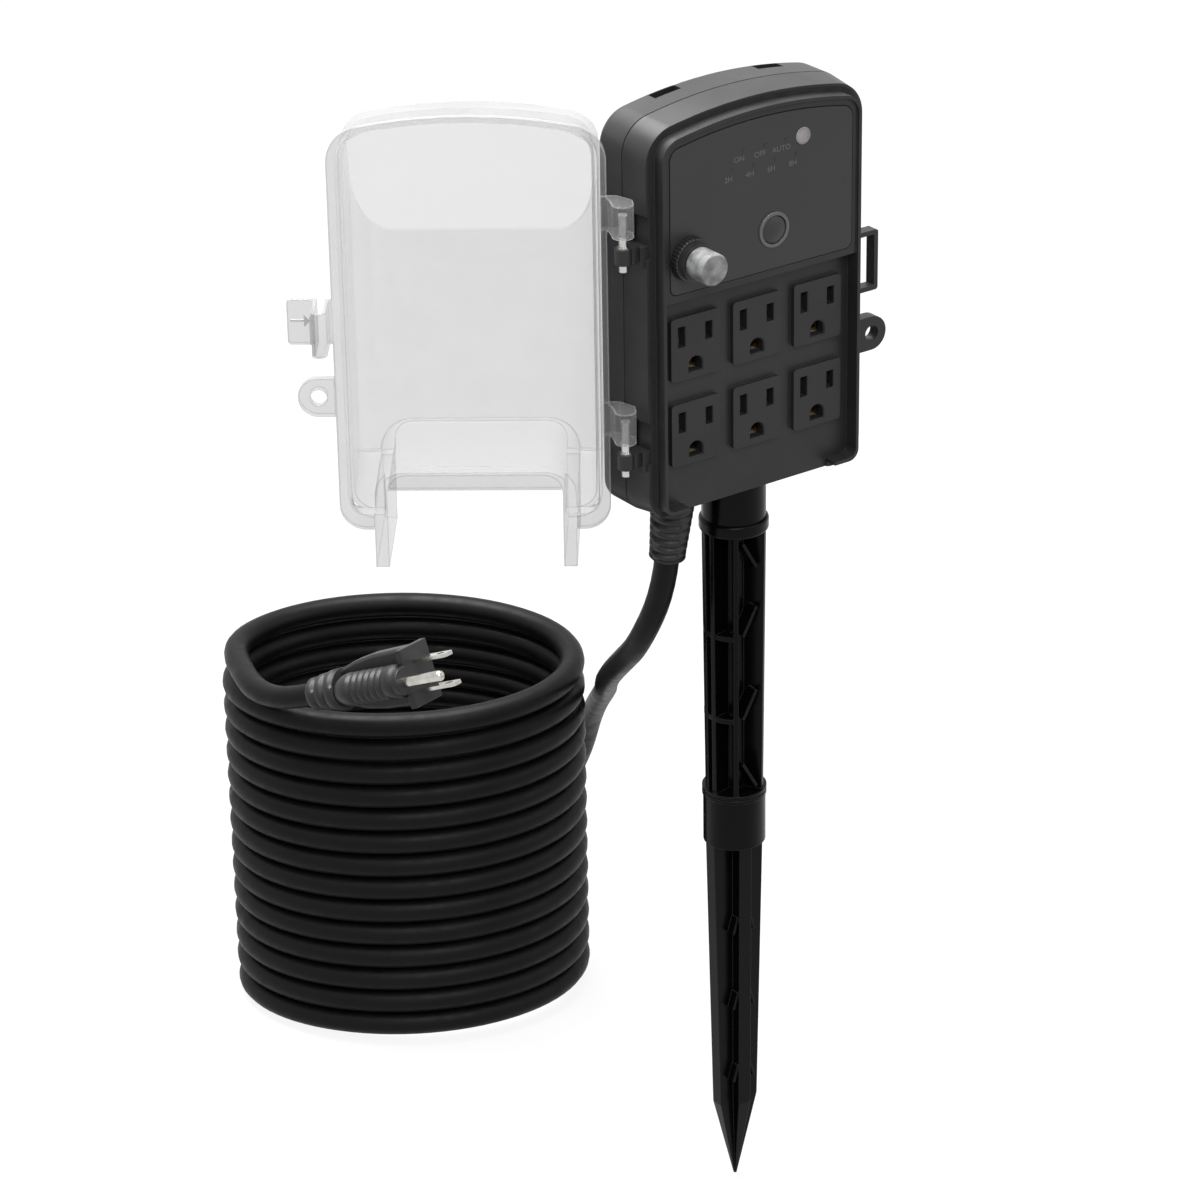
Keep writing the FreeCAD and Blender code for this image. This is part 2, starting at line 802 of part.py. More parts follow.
def make_contact_carrier():
    half = half_width - boss_side - 0.4 + boss_radius + 2.2
    half = min(half, half_width - wall - 1.0)
    low = z_low + boss_low + boss_radius + 1.6
    high = z_row + pad_above + 4.5
    plate = block(-half, half, y_carrier, y_carrier + carrier_depth, low, high)
    tools = []
    for x, z in outlets():
        for side in (-1, 1):
            tools.append(contact_slot(x + side * blade_offset, z, 2.4, 4.6, y_carrier - 1, y_carrier + 9))
        tools.append(contact_slot(x, z - ground_drop, 4.3, 3.6, y_carrier - 1, y_carrier + 9))
    return cut_all(plate, tools)


def make_bus(level, offset, drop, half_gap, bar_rise):
    """Bus strip: a bar over the outlets, a leg per column and a leaf pair per outlet."""
    y0 = y_carrier + carrier_depth + 0.2 + level * bus_step
    y_leaf = y_carrier + 0.5
    bar_low = z_row + pad_above + bar_rise
    low = z_row - row_pitch - drop - 3.2
    pieces = [block(-column_pitch + offset - 2, column_pitch + offset + 2, y0, y0 + bus_thickness,
                    bar_low, bar_low + 4)]
    for column in (-1, 0, 1):
        x = column * column_pitch + offset
        width = half_gap + 0.7
        pieces.append(block(x - width, x + width, y0, y0 + bus_thickness, low, bar_low + 4))
    for x, z in outlets():
        for side in (-1, 1):
            centre = x + offset + side * (half_gap + 0.3)
            pieces.append(block(centre - 0.3, centre + 0.3, y_leaf, y0 + bus_thickness,
                                z - drop - 3.0, z - drop + 3.0))
    return fuse_all(pieces)


def make_buses():
    return {"line_bus": make_bus(0, blade_offset, 0.0, 0.9, -3.5),
            "neutral_bus": make_bus(1, -blade_offset, 0.0, 0.9, 1.5),
            "ground_bus": make_bus(2, 0.0, ground_drop, 3.2, 6.5)}


def make_supply():
    """Inner end of the cord, its clamp, three cores and the terminal block."""
    top = z_low + inner_cord_length
    inner = cord_through_box(top)
    clamp_low = z_low + wall + front_draft + clamp_rise
    clamp = block(x_cord - clamp_width / 2, x_cord + clamp_width / 2, y_cord - clamp_depth / 2,
                  y_cord + clamp_depth / 2, clamp_low, clamp_low + clamp_height)
    clamp = clamp.cut(cylinder(cord_radius, V(x_cord, y_cord, 0), V(x_cord, y_cord, top)))
    block_low = z_row + pad_above + terminal_rise
    y_wire = y_carrier + carrier_depth + 0.2 + 2 * bus_step + bus_thickness + 2.4
    y0 = y_wire - 1.6
    terminal = block(x_cord - terminal_width / 2, x_cord + terminal_width / 2, y0, y0 + terminal_depth,
                     block_low, block_low + terminal_height)
    parts = {"cord_inner": inner, "cord_clamp": clamp, "terminal_block": terminal}
    for name, side in (("line_core", -1), ("neutral_core", 0), ("ground_core", 1)):
        shift = side * core_spread
        foot = V(x_cord + shift, y_cord + (2.2 if side == 0 else -0.6), top)
        knee = V(x_cord + shift * 2.6, y_wire, top + core_climb)
        head = V(knee.x, y_wire, block_low)
        parts[name] = fuse_all([cylinder(core_radius, foot, knee), Part.makeSphere(core_radius, knee),
                                cylinder(core_radius, knee, head)]).cut(inner)
    return parts


def lean_back(shape):
    """Tilt a piece under the box about the cord's way out of it."""
    return shape.rotated(V(x_cord, y_cord, z_low), X_AXIS, relief_lean)


def relief_end():
    lean = math.radians(relief_lean)
    way = V(0, math.sin(lean), -math.cos(lean))
    return V(x_cord, y_cord, z_low) + way * relief_length, way


def cord_through_box(top, extra=0.0):
    """The cord's straight stretch in the box and its leaning stretch in the boot."""
    upper = cylinder(cord_radius, V(x_cord, y_cord, z_low), V(x_cord, y_cord, top))
    lower = cylinder(cord_radius, V(x_cord, y_cord, z_low - relief_length - extra),
                     V(x_cord, y_cord, z_low))
    elbow = Part.makeSphere(cord_radius, V(x_cord, y_cord, z_low))
    return fuse_all([upper, lean_back(lower), elbow])


def make_strain_relief():
    """Ribbed boot under the box, clamped between the two shells."""
    step = relief_length / relief_rings
    flange_low = z_low + wall + front_draft
    hang = []
    for i in range(relief_rings):
        share = i / (relief_rings - 1)
        radius = relief_top_radius + (relief_low_radius - relief_top_radius) * share
        top = z_low - 0.4 - i * step
        low = z_low - relief_length if i == relief_rings - 1 else top - step * 0.62
        hang.append(cylinder(radius, V(x_cord, y_cord, low), V(x_cord, y_cord, top)))
    hang.append(Part.makeCone(relief_low_radius - relief_groove, relief_top_radius - relief_groove,
                              relief_length, V(x_cord, y_cord, z_low - relief_length)))
    neck = cylinder(relief_neck, V(x_cord, y_cord, z_low - 1.6), V(x_cord, y_cord, flange_low))
    flange = cylinder(relief_flange, V(x_cord, y_cord, flange_low), V(x_cord, y_cord, flange_low + 2.6))
    room = 2 * relief_length
    below = block(x_cord - room, x_cord + room, y_cord - room, y_cord + room, z_low - room, z_low - 0.1)
    boot = fuse_all([lean_back(fuse_all(hang)).common(below), neck, flange])
    return boot.cut(cord_through_box(flange_low + 5, 1.0))


def make_upper_stake():
    """Ribbed upper half: spigot, stop ring, eight ribs on a core, foot disc and spigot."""
    core = cylinder(stake_core, V(0, 0, z_ribs), V(0, 0, z_ring))
    ribs = []
    for angle in rib_angles:
        for mirror in (-1, 1):
            rib = block(-rib_thickness / 2, rib_thickness / 2, -ring_radius, 0, z_ribs, z_ring)
            ribs.append(rib.rotated(V(0, 0, 0), Z_AXIS, mirror * angle))
    envelope = Part.makeCone(rib_radius_low, rib_radius_top, rib_length, V(0, 0, z_ribs))
    rungs = []
    for height in rung_heights:
        z = z_ribs + height
        plate = cylinder(rib_radius_low, V(0, 0, z), V(0, 0, z + rung_thickness))
        front = block(-rung_gap_half, rung_gap_half, -ring_radius, ring_radius, z - 1, z + rung_thickness + 1)
        rungs.append(plate.cut(front))
    webs = []
    for height, lean in web_leans:
        web = block(-web_thickness / 2, web_thickness / 2, -web_reach, -stake_core + 1,
                    -web_length / 2, web_length / 2)
        web = web.rotated(V(0, 0, 0), Y_AXIS, lean)
        web.translate(V(0, 0, z_ribs + height))
        webs += [web, web.rotated(V(0, 0, 0), Z_AXIS, 180)]
    keep = cylinder(2 * ring_radius, V(0, 0, z_ribs), V(0, 0, z_ring))
    stake = fuse_all([core] + ribs + rungs + webs).common(envelope).common(keep)
    ring = cylinder(ring_radius, V(0, 0, z_ring), V(0, 0, z_neck))
    ring_middle = z_ring + ring_height / 2
    ring_edges = [e for e in ring.Edges if e.Length > 2 and abs(e.CenterOfMass.z - ring_middle) > 2]
    ring = ring.makeFillet(1.2, ring_edges)
    spigot = cylinder(socket_bore - spigot_play, V(0, 0, z_neck - 1), V(0, 0, z_neck + spigot_length))
    disc = cylinder(disc_radius, V(0, 0, z_disc), V(0, 0, z_ribs))
    disc = disc.cut(disc_groove())
    foot = cylinder(lower_spigot_radius, V(0, 0, z_collar + 3), V(0, 0, z_disc + 1))
    return fuse_all([stake, ring, spigot, disc, foot]).removeSplitter()


def disc_groove():
    z = z_disc + disc_height * 0.45
    outer = cylinder(disc_radius + 1, V(0, 0, z), V(0, 0, z + 0.7))
    return outer.cut(cylinder(disc_radius - 0.5, V(0, 0, z - 1), V(0, 0, z + 2)))


def fin_section(z, wide, deep, wide_half, deep_half):
    points = [V(wide, -wide_half, z), V(wide, wide_half, z), V(deep_half, wide_half, z),
              V(deep_half, deep, z), V(-deep_half, deep, z), V(-deep_half, wide_half, z),
              V(-wide, wide_half, z), V(-wide, -wide_half, z), V(-deep_half, -wide_half, z),
              V(-deep_half, -deep, z), V(deep_half, -deep, z), V(deep_half, -wide_half, z)]
    return Part.makePolygon(points + points[:1])


def make_lower_stake():
    """Cross-shaped ground spike under a collar that takes the upper half's foot."""
    tip = fin_section(0, 0.6, 0.55, 0.3, 0.3)
    low = fin_section(z_shoulder, wide_fin_low, deep_fin_low, wide_fin_half, deep_fin_half)
    top = fin_section(z_collar, wide_fin_top, deep_fin_top, wide_fin_half, deep_fin_half)
    point = Part.makeLoft([tip, low], True, True)
    shaft = Part.makeLoft([low, top], True, True)
    collar = cylinder(collar_radius, V(0, 0, z_collar), V(0, 0, z_disc))
    bore = cylinder(lower_spigot_radius + spigot_play, V(0, 0, z_collar + 2.5), V(0, 0, z_disc + 1))
    gussets = []
    for height in gusset_heights:
        for side in (-1, 1):
            rib = block(-gusset_thickness / 2, gusset_thickness / 2, 0.5 - gusset_depth, 0.5,
                        -gusset_length / 2, gusset_length / 2)
            rib = rib.rotated(V(0, 0, 0), Y_AXIS, side * gusset_lean)
            rib.translate(V(side * (deep_fin_half + gusset_stand_off), -wide_fin_half + 0.2,
                            z_shoulder + height))
            gussets.append(rib)
    return fuse_all([point, shaft, collar] + gussets).cut(bore).removeSplitter()


def hinge_arm(level):
    """Clear knuckle on a hinge pin and its arm to the flange, slim enough to pass the flank."""
    low = level + pin_bare
    top = low + knuckle_height
    knuckle = cylinder(knuckle_radius, V(x_hinge, y_hinge, low), V(x_hinge, y_hinge, top))
    edge_x = -half_width + cover_side
    y_front = y_flange - flange_thickness
    points = [V(x_hinge - knuckle_radius, y_hinge, low),
              V(x_hinge - knuckle_radius + 0.55, y_hinge - knuckle_radius - 0.45, low),
              V(x_hinge + 2.2, y_front - arm_rise, low),
              V(edge_x + 2.4, y_front - arm_rise, low),
              V(edge_x + 2.4, y_flange, low),
              V(edge_x - 0.6, y_flange, low),
              V(x_hinge + knuckle_radius, y_hinge, low)]
    arm = Part.Face(Part.makePolygon(points + points[:1])).extrude(V(0, 0, knuckle_height))
    return knuckle.fuse(arm)


def hinge_arm_bores():
    bores = []
    for level in hinge_levels:
        low = level + pin_bare
        top = low + knuckle_height - knuckle_roof
        bores.append(cylinder(pin_radius + pin_play, V(x_hinge, y_hinge, low - 1), V(x_hinge, y_hinge, top)))
    return bores


def dome_outline(y, inset, far):
    high = z_high - cover_crown_below - inset - (dome_draft_top if far else 0.0)
    low = z_low - cover_drop + dome_side + inset + (dome_draft_low if far else 0.0)
    return crowned_outline(y, half_width - dome_side - inset, low, high,
                           top_corner - inset, low_corner - inset, crown_radius - inset)


def dome_solid(inset):
    """Drafted body of the cover, its side edges rounded and the ramp over the controls cut off."""
    y_near = y_flange + (0.5 if inset else 0.0)
    y_far = y_flange - cover_depth + inset
    near = dome_outline(y_near, inset, False)
    far = dome_outline(y_far, inset, True)
    body = Part.makeLoft([near, far], True, True)
    half = half_width - dome_side - inset
    sides = block(-half, half, y_far, y_near, z_low - 60, z_high + 20)
    far_edges = [e for e in sides.Edges if abs(e.tangentAt(e.FirstParameter).z) > 0.99
                 and abs(e.CenterOfMass.y - y_far) < 0.01]
    sides = sides.makeFillet(dome_round - inset, far_edges)
    y_crown = y_flange - crown_depth + inset
    z_head = z_high - ramp_head_below
    z_foot = z_low + ramp_foot_height
    points = [V(0, y_near + 1, z_low - 60), V(0, y_far - 1, z_low - 60), V(0, y_far - 1, z_foot),
              V(0, y_far, z_foot), V(0, y_crown, z_head - inset), V(0, y_crown, z_high + 20),
              V(0, y_near + 1, z_high + 20)]
    ramp = Part.Face(Part.makePolygon(points + points[:1])).extrude(V(4 * half_width, 0, 0))
    ramp.translate(V(-2 * half_width, 0, 0))
    return body.common(sides).common(ramp)


def side_prism(half, points):
    """Solid of the given outline in the YZ plane, from -half to half along X."""
    outline = [V(-half, y, z) for y, z in points]
    return Part.Face(Part.makePolygon(outline + outline[:1])).extrude(V(2 * half, 0, 0))


def arched_prism(half, points, z_foot, round_over):
    """Side prism whose two upper edges are rounded."""
    prism = side_prism(half, points)
    upper = [e for e in prism.Edges if abs(e.tangentAt(e.FirstParameter).y) > 0.9
             and e.CenterOfMass.z > z_foot + 1]
    return prism.makeFillet(round_over, upper)


def make_cover_shell():
    """Clear cover, made closed over the box and then swung open about the hinge."""
    z_roof = z_low + roof_height
    z_leg = z_low - leg_drop
    leg_outer = leg_inner + leg_thickness
    y_leg = y_flange - leg_depth
    y_far = y_flange - cover_depth
    slope = roof_rise / cover_depth
    z_far = z_roof + roof_rise
    flange_out = (half_width - cover_side, z_low - cover_drop, z_high - cover_crown_below + 0.5,
                  top_corner, low_corner, crown_radius)
    flange = crowned_prism(y_flange - flange_thickness, y_flange, *flange_out)
    tunnel = [(y_flange, z_leg), (y_leg, z_leg), (y_leg, z_roof + slope * leg_depth), (y_flange, z_roof)]
    gap = 3.0
    below = [(y_flange + gap, z_leg - gap), (y_far - gap, z_leg - gap),
             (y_far - gap, z_far + slope * gap - cover_wall),
             (y_flange + gap, z_roof - slope * gap - cover_wall)]
    keep_out = [(y_flange + gap, z_leg - gap), (y_far - gap, z_leg - gap),
                (y_far - gap, z_far + slope * gap), (y_flange + gap, z_roof - slope * gap)]
    outer = fuse_all([dome_solid(0.0), flange])
    shoulder = channel_corner + leg_thickness
    hollow = dome_solid(cover_wall).cut(arched_prism(leg_outer, keep_out, z_leg, shoulder))
    shell = outer.cut(hollow).fuse(arched_prism(leg_outer, tunnel, z_leg, shoulder))
    channel = arched_prism(leg_inner, below, z_leg, channel_corner)
    shell = shell.cut(channel)
    lip = block(-leg_inner, leg_inner, y_flange - cover_wall, y_flange, z_roof - roof_lip, z_roof)
    shell = shell.fuse(lip.common(channel))
    rim_room = crowned_prism(y_rim - rim_relief, y_flange + 1, *rim_outline(-rim_relief))
    band = block(-leg_inner - 1, leg_inner + 1, y_flange - cover_wall - 6, y_flange + 2, z_leg, z_roof + 0.1)
    shell = shell.cut(rim_room.cut(band))
    extra = [hinge_arm(level) for level in hinge_levels]
    extra.append(make_cover_lug())
    extra.append(make_latch_arm())
    shell = fuse_all([shell] + extra)
    return cut_all(shell, hinge_arm_bores()).removeSplitter()


def make_cover_lug():
    """The cover's ear, joined to the flange and cut clear of the box's drafted flank."""
    y1 = y_lug - lug_gap
    ear = padlock_lug(cover_lug_radius, y1 - cover_lug_thickness, y1)
    return ear.cut(block(0, half_width - lug_clearance, y_flange, y1 + 1, z_low, z_high))


def latch_x():
    return half_width + latch_stand_off


def latch_low():
    return z_low + keeper_low + (keeper_open - latch_height) / 2


def latch_tongue_x():
    """Inner face of the latch's outer blade."""
    return latch_x() + latch_blade + 2 * latch_bend


def make_latch_arm():
    """Fixed half of the latch: a root on the flange, a blade through the keeper and a bend."""
    z0 = latch_low()
    z1 = z0 + latch_height
    x0 = latch_x()
    y_bend = y_flange + latch_reach
    centre_x = x0 + latch_blade + latch_bend
    outer = latch_blade + latch_bend
    root = block(half_width - cover_side - 3.2, x0 + latch_blade,
                 y_flange - flange_thickness, y_flange - 0.2, z0, z1)
    blade = block(x0, x0 + latch_blade, y_flange - flange_thickness, y_bend, z0, z1)
    ring = cylinder(outer, V(centre_x, y_bend, z0), V(centre_x, y_bend, z1))
    ring = ring.cut(cylinder(latch_bend, V(centre_x, y_bend, z0 - 1), V(centre_x, y_bend, z1 + 1)))
    ring = ring.common(block(x0, x0 + 2 * outer, y_bend, y_bend + outer, z0, z1))
    return fuse_all([root, blade, ring])


def make_cover_latch():
    """Springy half of the latch: the outer blade with its barb and the finger plate."""
    z0 = latch_low()
    x1 = latch_tongue_x()
    y_bend = y_flange + latch_reach - latch_gap
    plate_y = y_flange - flange_thickness
    blade = block(x1, x1 + latch_blade, plate_y, y_bend, z0, z0 + latch_height)
    barb_y = y_ledge + keeper_from_ledge + keeper_depth + barb_play
    barb_x = half_width + keeper_reach + barb_catch
    points = [V(x1 + 0.5, barb_y, z0 + 3), V(barb_x, barb_y, z0 + 3),
              V(x1 + 0.5, barb_y + barb_length, z0 + 3)]
    barb = Part.Face(Part.makePolygon(points + points[:1])).extrude(V(0, 0, latch_height - 6))
    plate_low = z0 + (latch_height - latch_plate_height) / 2
    plate = rounded_block(x1, x1 + latch_blade + latch_plate_reach, plate_y, plate_y + 1.8,
                          plate_low, plate_low + latch_plate_height, 1.6)
    return fuse_all([blade, barb, plate]).removeSplitter()


def swing_open(shape):
    return shape.rotated(V(x_hinge, y_hinge, 0), Z_AXIS, -open_angle)


def make_hinge_pins():
    pins = {}
    for name, level in zip(("lower", "upper"), hinge_levels):
        low = level - box_knuckle_height - pin_below
        top = level + pin_bare + knuckle_height - knuckle_roof - 0.3
        pin = cylinder(pin_radius, V(x_hinge, y_hinge, low), V(x_hinge, y_hinge, top))
        washer_top = level + washer_height
        washer = cylinder(washer_radius, V(x_hinge, y_hinge, level), V(x_hinge, y_hinge, washer_top))
        pins["hinge_pin_" + name] = pin
        pins["hinge_washer_" + name] = washer.cut(pin)
    return pins


# Free stretch of the cord from the strain relief to the coil, points chosen by hand
lead_points = [
    (-32.7, 18.6, 246.3),
    (-27.0, 41.3, 225.0),
    (-10.9, 75.4, 198.3),
    (13.1, 109.4, 177.0),
    (53.0, 159.7, 147.9),
    (79.2, 209.3, 108.7),
    (92.1, 237.0, 71.6),
    (94.4, 259.2, 40.5),
    (75.9, 284.1, 16.8),
    (40.9, 297.3, 7.9),
]
lead_first_run = 17.0
lead_last_run = 30.0


def round_corners(points):
    """Wire of straight runs joined by tangent arcs, and the radius of each arc."""
    edges = []
    radii = []
    start = points[0]
    for i in range(1, len(points) - 1):
        before = points[i] - points[i - 1]
        after = points[i + 1] - points[i]
        half_turn = before.getAngle(after) / 2
        shorter = min(before.Length, after.Length)
        cut_back = 0.45 * shorter
        radius = cut_back / math.tan(half_turn)
        radii.append(radius)
        enter = points[i] - V(before).normalize() * cut_back
        leave = points[i] + V(after).normalize() * cut_back
        middle = (enter + leave) * 0.5
        bulge = radius * (1 / math.cos(half_turn) - 1)
        top = points[i] + V(middle - points[i]).normalize() * bulge
        edges.append(Part.LineSegment(start, enter).toShape())
        edges.append(Part.Arc(enter, top, leave).toShape())
        start = leave
    edges.append(Part.LineSegment(start, points[-1]).toShape())
    return Part.Wire(edges), radii


def sweep_tube(wire, start, direction, radius):
    profile = Part.Wire([Part.makeCircle(radius, start, direction)])
    return wire.makePipeShell([profile], True, False)


def coil_axes():
    bearing = math.radians(coil_bearing)
    return V(math.cos(bearing), math.sin(bearing), 0), V(-math.sin(bearing), math.cos(bearing), 0)


def coil_point(angle):
    along, across = coil_axes()
    turn = math.radians(angle)
    height = coil_start_height + coil_pitch * (angle - coil_start_angle) / 360.0
    return (V(coil_x, coil_y, height) + along * (coil_long_radius * math.cos(turn))
            + across * (coil_short_radius * math.sin(turn)))


def coil_heading(angle, level=False):
    along, across = coil_axes()
    turn = math.radians(angle)
    way = (along * (-coil_long_radius * math.sin(turn)) + across * (coil_short_radius * math.cos(turn)))
    climb = 0.0 if level else coil_pitch / (2 * math.pi)
    return V(way.x, way.y, climb).normalize()


def arc_through(start, corner, end):
    """Arc from start to end, tangent to the lines that meet at the corner."""
    middle = (start + end) * 0.5
    half_chord = (end - start).Length / 2
    height = (corner - middle).Length
    turn = math.atan2(height, half_chord)
    radius = half_chord / math.sin(turn)
    top = middle + V(corner - middle).normalize() * (radius * (1 - math.cos(turn)))
    return Part.Arc(start, top, end).toShape(), radius


def biarc(start, start_way, end, end_way):
    """Two tangent arcs between two points with the given headings."""
    span = end - start
    both = start_way + end_way
    spread = 2 * (1 - start_way.dot(end_way))
    lean = span.dot(both)
    reach = (-lean + math.sqrt(lean * lean + spread * span.dot(span))) / spread
    first = start + start_way * reach
    second = end - end_way * reach
    joint = (first + second) * 0.5
    one, radius_one = arc_through(start, first, joint)
    two, radius_two = arc_through(joint, second, end)
    return [one, two], min(radius_one, radius_two)


def coil_ends():
    total = coil_turns * 360.0 + coil_extra_angle
    start_way = coil_heading(coil_start_angle, True)
    end_way = coil_heading(coil_start_angle + total)
    start = coil_point(coil_start_angle) - start_way * (2 * cord_radius)
    end = coil_point(coil_start_angle + total) + end_way * (2 * cord_radius)
    return total, start, start_way, end, end_way


def make_cord_coil():
    total, start, start_way, end, end_way = coil_ends()
    quarters = int(math.ceil(total / 90.0))
    step = total / quarters
    edges = [Part.LineSegment(start, coil_point(coil_start_angle)).toShape()]
    tightest = coil_long_radius
    for i in range(quarters):
        angle = coil_start_angle + i * step
        way = start_way if i == 0 else coil_heading(angle)
        pair, radius = biarc(coil_point(angle), way, coil_point(angle + step), coil_heading(angle + step))
        tightest = min(tightest, radius)
        edges += pair
    edges.append(Part.LineSegment(coil_point(coil_start_angle + total), end).toShape())
    wire = Part.Wire(edges)
    samples = []
    for edge in edges:
        samples += edge.discretize(9)[:-1]
    window = int(8 * 2 * 360 / step)
    least = 1e9
    for i, point in enumerate(samples):
        for other in samples[i + int(window * 0.8): i + int(window * 1.2)]:
            least = min(least, point.distanceToPoint(other))
    print("coil: tightest radius %.1f, least gap to itself %.2f, length %.0f"
          % (tightest, least - 2 * cord_radius, wire.Length))
    return sweep_tube(wire, start, start_way, cord_radius)


def tube_along(points, name):
    wire, radii = round_corners(points)
    tube = sweep_tube(wire, points[0], points[1] - points[0], cord_radius)
    section = math.pi * cord_radius ** 2
    print("%s: radii %s, volume against section times length %.5f, length %.0f"
          % (name, [round(r) for r in radii], tube.Volume / (section * wire.Length), wire.Length))
    return tube


def make_cord_lead():
    total, start, start_way, end, end_way = coil_ends()
    origin, way = relief_end()
    points = [origin, origin + way * lead_first_run] + [V(*p) for p in lead_points]
    points += [start - start_way * lead_last_run, start]
    return tube_along(points, "cord_lead")


def direction(heading, pitch):
    heading = math.radians(heading)
    pitch = math.radians(pitch)
    return V(math.cos(heading) * math.cos(pitch), math.sin(heading) * math.cos(pitch), math.sin(pitch))


def tail_path():
    """Points of the short tail that turns from the coil's end to the plug's axis."""
    total, start, start_way, end, end_way = coil_ends()
    points = [end, end + end_way * tail_run]
    first = math.degrees(math.atan2(end_way.y, end_way.x))
    for i in range(1, tail_turns + 1):
        share = i / tail_turns
        way = direction(first + (plug_heading - first) * share, plug_pitch * share)
        points.append(points[-1] + way * tail_run)
    return points


def make_cord_tail():
    return tube_along(tail_path(), "cord_tail")


def place_plug(shape):
    """Move a piece from the plug's own axes (X forward, Z up) to where the plug lies."""
    turned = shape.rotated(V(0, 0, 0), X_AXIS, plug_roll)
    turned = turned.rotated(V(0, 0, 0), Y_AXIS, -plug_pitch)
    turned = turned.rotated(V(0, 0, 0), Z_AXIS, plug_heading)
    turned.translate(tail_path()[-1])
    return turned


def plug_stations():
    """Where the relief, the flare and the grip end, and where the plug's face is."""
    flare_start = plug_relief_length
    grip_start = flare_start + plug_flare_length
    grip_end = grip_start + plug_grip_length
    return flare_start, grip_start, grip_end, grip_end + plug_flange_thickness


def plug_web():
    """Tall plate behind the blades that widens from the relief to the flange."""
    half_thick = plug_web_thickness / 2
    wires = []
    for x, half in zip(plug_stations(), plug_web_halves):
        points = [V(x, plug_blade_shift - half_thick, -half), V(x, plug_blade_shift + half_thick, -half),
                  V(x, plug_blade_shift + half_thick, half), V(x, plug_blade_shift - half_thick, half)]
        wires.append(Part.makePolygon(points + points[:1]))
    return Part.makeLoft(wires, True, True)


def plug_barrel(lobe_y):
    """Round grip behind the ground pin, with finger grooves."""
    flare_start, grip_start, grip_end, face = plug_stations()
    y = lobe_y + plug_barrel_shift
    start = flare_start + plug_barrel_start
    cone_end = start + plug_barrel_cone
    cone = Part.makeCone(plug_barrel_radius - 2, plug_barrel_radius, plug_barrel_cone, V(start, y, 0), X_AXIS)
    barrel = cylinder(plug_barrel_radius, V(cone_end, y, 0), V(grip_end, y, 0))
    grooves = []
    for i in range(plug_groove_count):
        x = cone_end + plug_groove_pitch * (i + 0.5)
        outer = cylinder(2 * plug_barrel_radius, V(x, y, 0), V(x + plug_groove_width, y, 0))
        inner = cylinder(plug_barrel_radius - plug_groove_depth, V(x - 1, y, 0), V(x + 3, y, 0))
        grooves.append(outer.cut(inner))
    return cut_all(cone.fuse(barrel), grooves)


def plug_flange(lobe_y):
    """Front plate: a tall bar over the blades and a round lobe over the ground pin."""
    flare_start, grip_start, grip_end, face = plug_stations()
    bar = block(grip_end, face, plug_flange_low, plug_flange_high, -plug_flange_half, plug_flange_half)
    lobe = cylinder(plug_flange_radius, V(grip_end, lobe_y, 0), V(face, lobe_y, 0))
    neck = block(grip_end, face, lobe_y, plug_flange_low + 1, -plug_flange_radius, plug_flange_radius)
    return fuse_all([bar, lobe, neck])


def plug_relief():
    """Tapered sleeve round the cord with rings that grow toward the plug."""
    step = plug_relief_length / plug_relief_rings
    rings = []
    for i in range(plug_relief_rings):
        x = i * step
        radius = plug_relief_radius + plug_relief_growth * i
        rings.append(cylinder(radius, V(x, 0, 0), V(x + 0.64 * step, 0, 0)))
        rings.append(cylinder(radius - 0.8, V(x, 0, 0), V(x + step, 0, 0)))
    return fuse_all(rings)


def make_plug():
    """Plug on the cord's far end: body, relief, two blades and a ground pin."""
    face = plug_stations()[-1]
    lobe_y = plug_blade_shift - ground_drop
    half_width_y = blade_width / 2
    body = fuse_all([plug_web(), plug_barrel(lobe_y), plug_flange(lobe_y)])
    parts = {"plug_relief": place_plug(plug_relief())}
    holes = []
    for name, side in (("upper", 1), ("lower", -1)):
        z0 = side * blade_offset - blade_thickness / 2
        z1 = z0 + blade_thickness
        y0 = plug_blade_shift - half_width_y
        y1 = plug_blade_shift + half_width_y
        holes.append(block(face - blade_root, face + 1, y0, y1, z0, z1))
        blade = block(face - blade_root, face + blade_length, y0, y1, z0, z1)
        x_hole = face + blade_length - blade_hole_from_tip
        hole = cylinder(blade_hole_radius, V(x_hole, plug_blade_shift, z0 - 1),
                        V(x_hole, plug_blade_shift, z1 + 1))
        tips = [e for e in blade.Edges if abs(e.tangentAt(e.FirstParameter).z) > 0.99
                and e.CenterOfMass.x > face]
        parts["plug_blade_" + name] = place_plug(blade.makeChamfer(blade_tip, tips).cut(hole))
    pin_end = face + ground_pin_length - ground_pin_radius
    holes.append(cylinder(ground_pin_radius, V(face - blade_root, lobe_y, 0), V(face + 1, lobe_y, 0)))
    pin = cylinder(ground_pin_radius, V(face - blade_root, lobe_y, 0), V(pin_end, lobe_y, 0))
    parts["plug_ground_pin"] = place_plug(pin.fuse(Part.makeSphere(ground_pin_radius, V(pin_end, lobe_y, 0))))
    parts["plug_body"] = place_plug(cut_all(body, holes))
    return parts


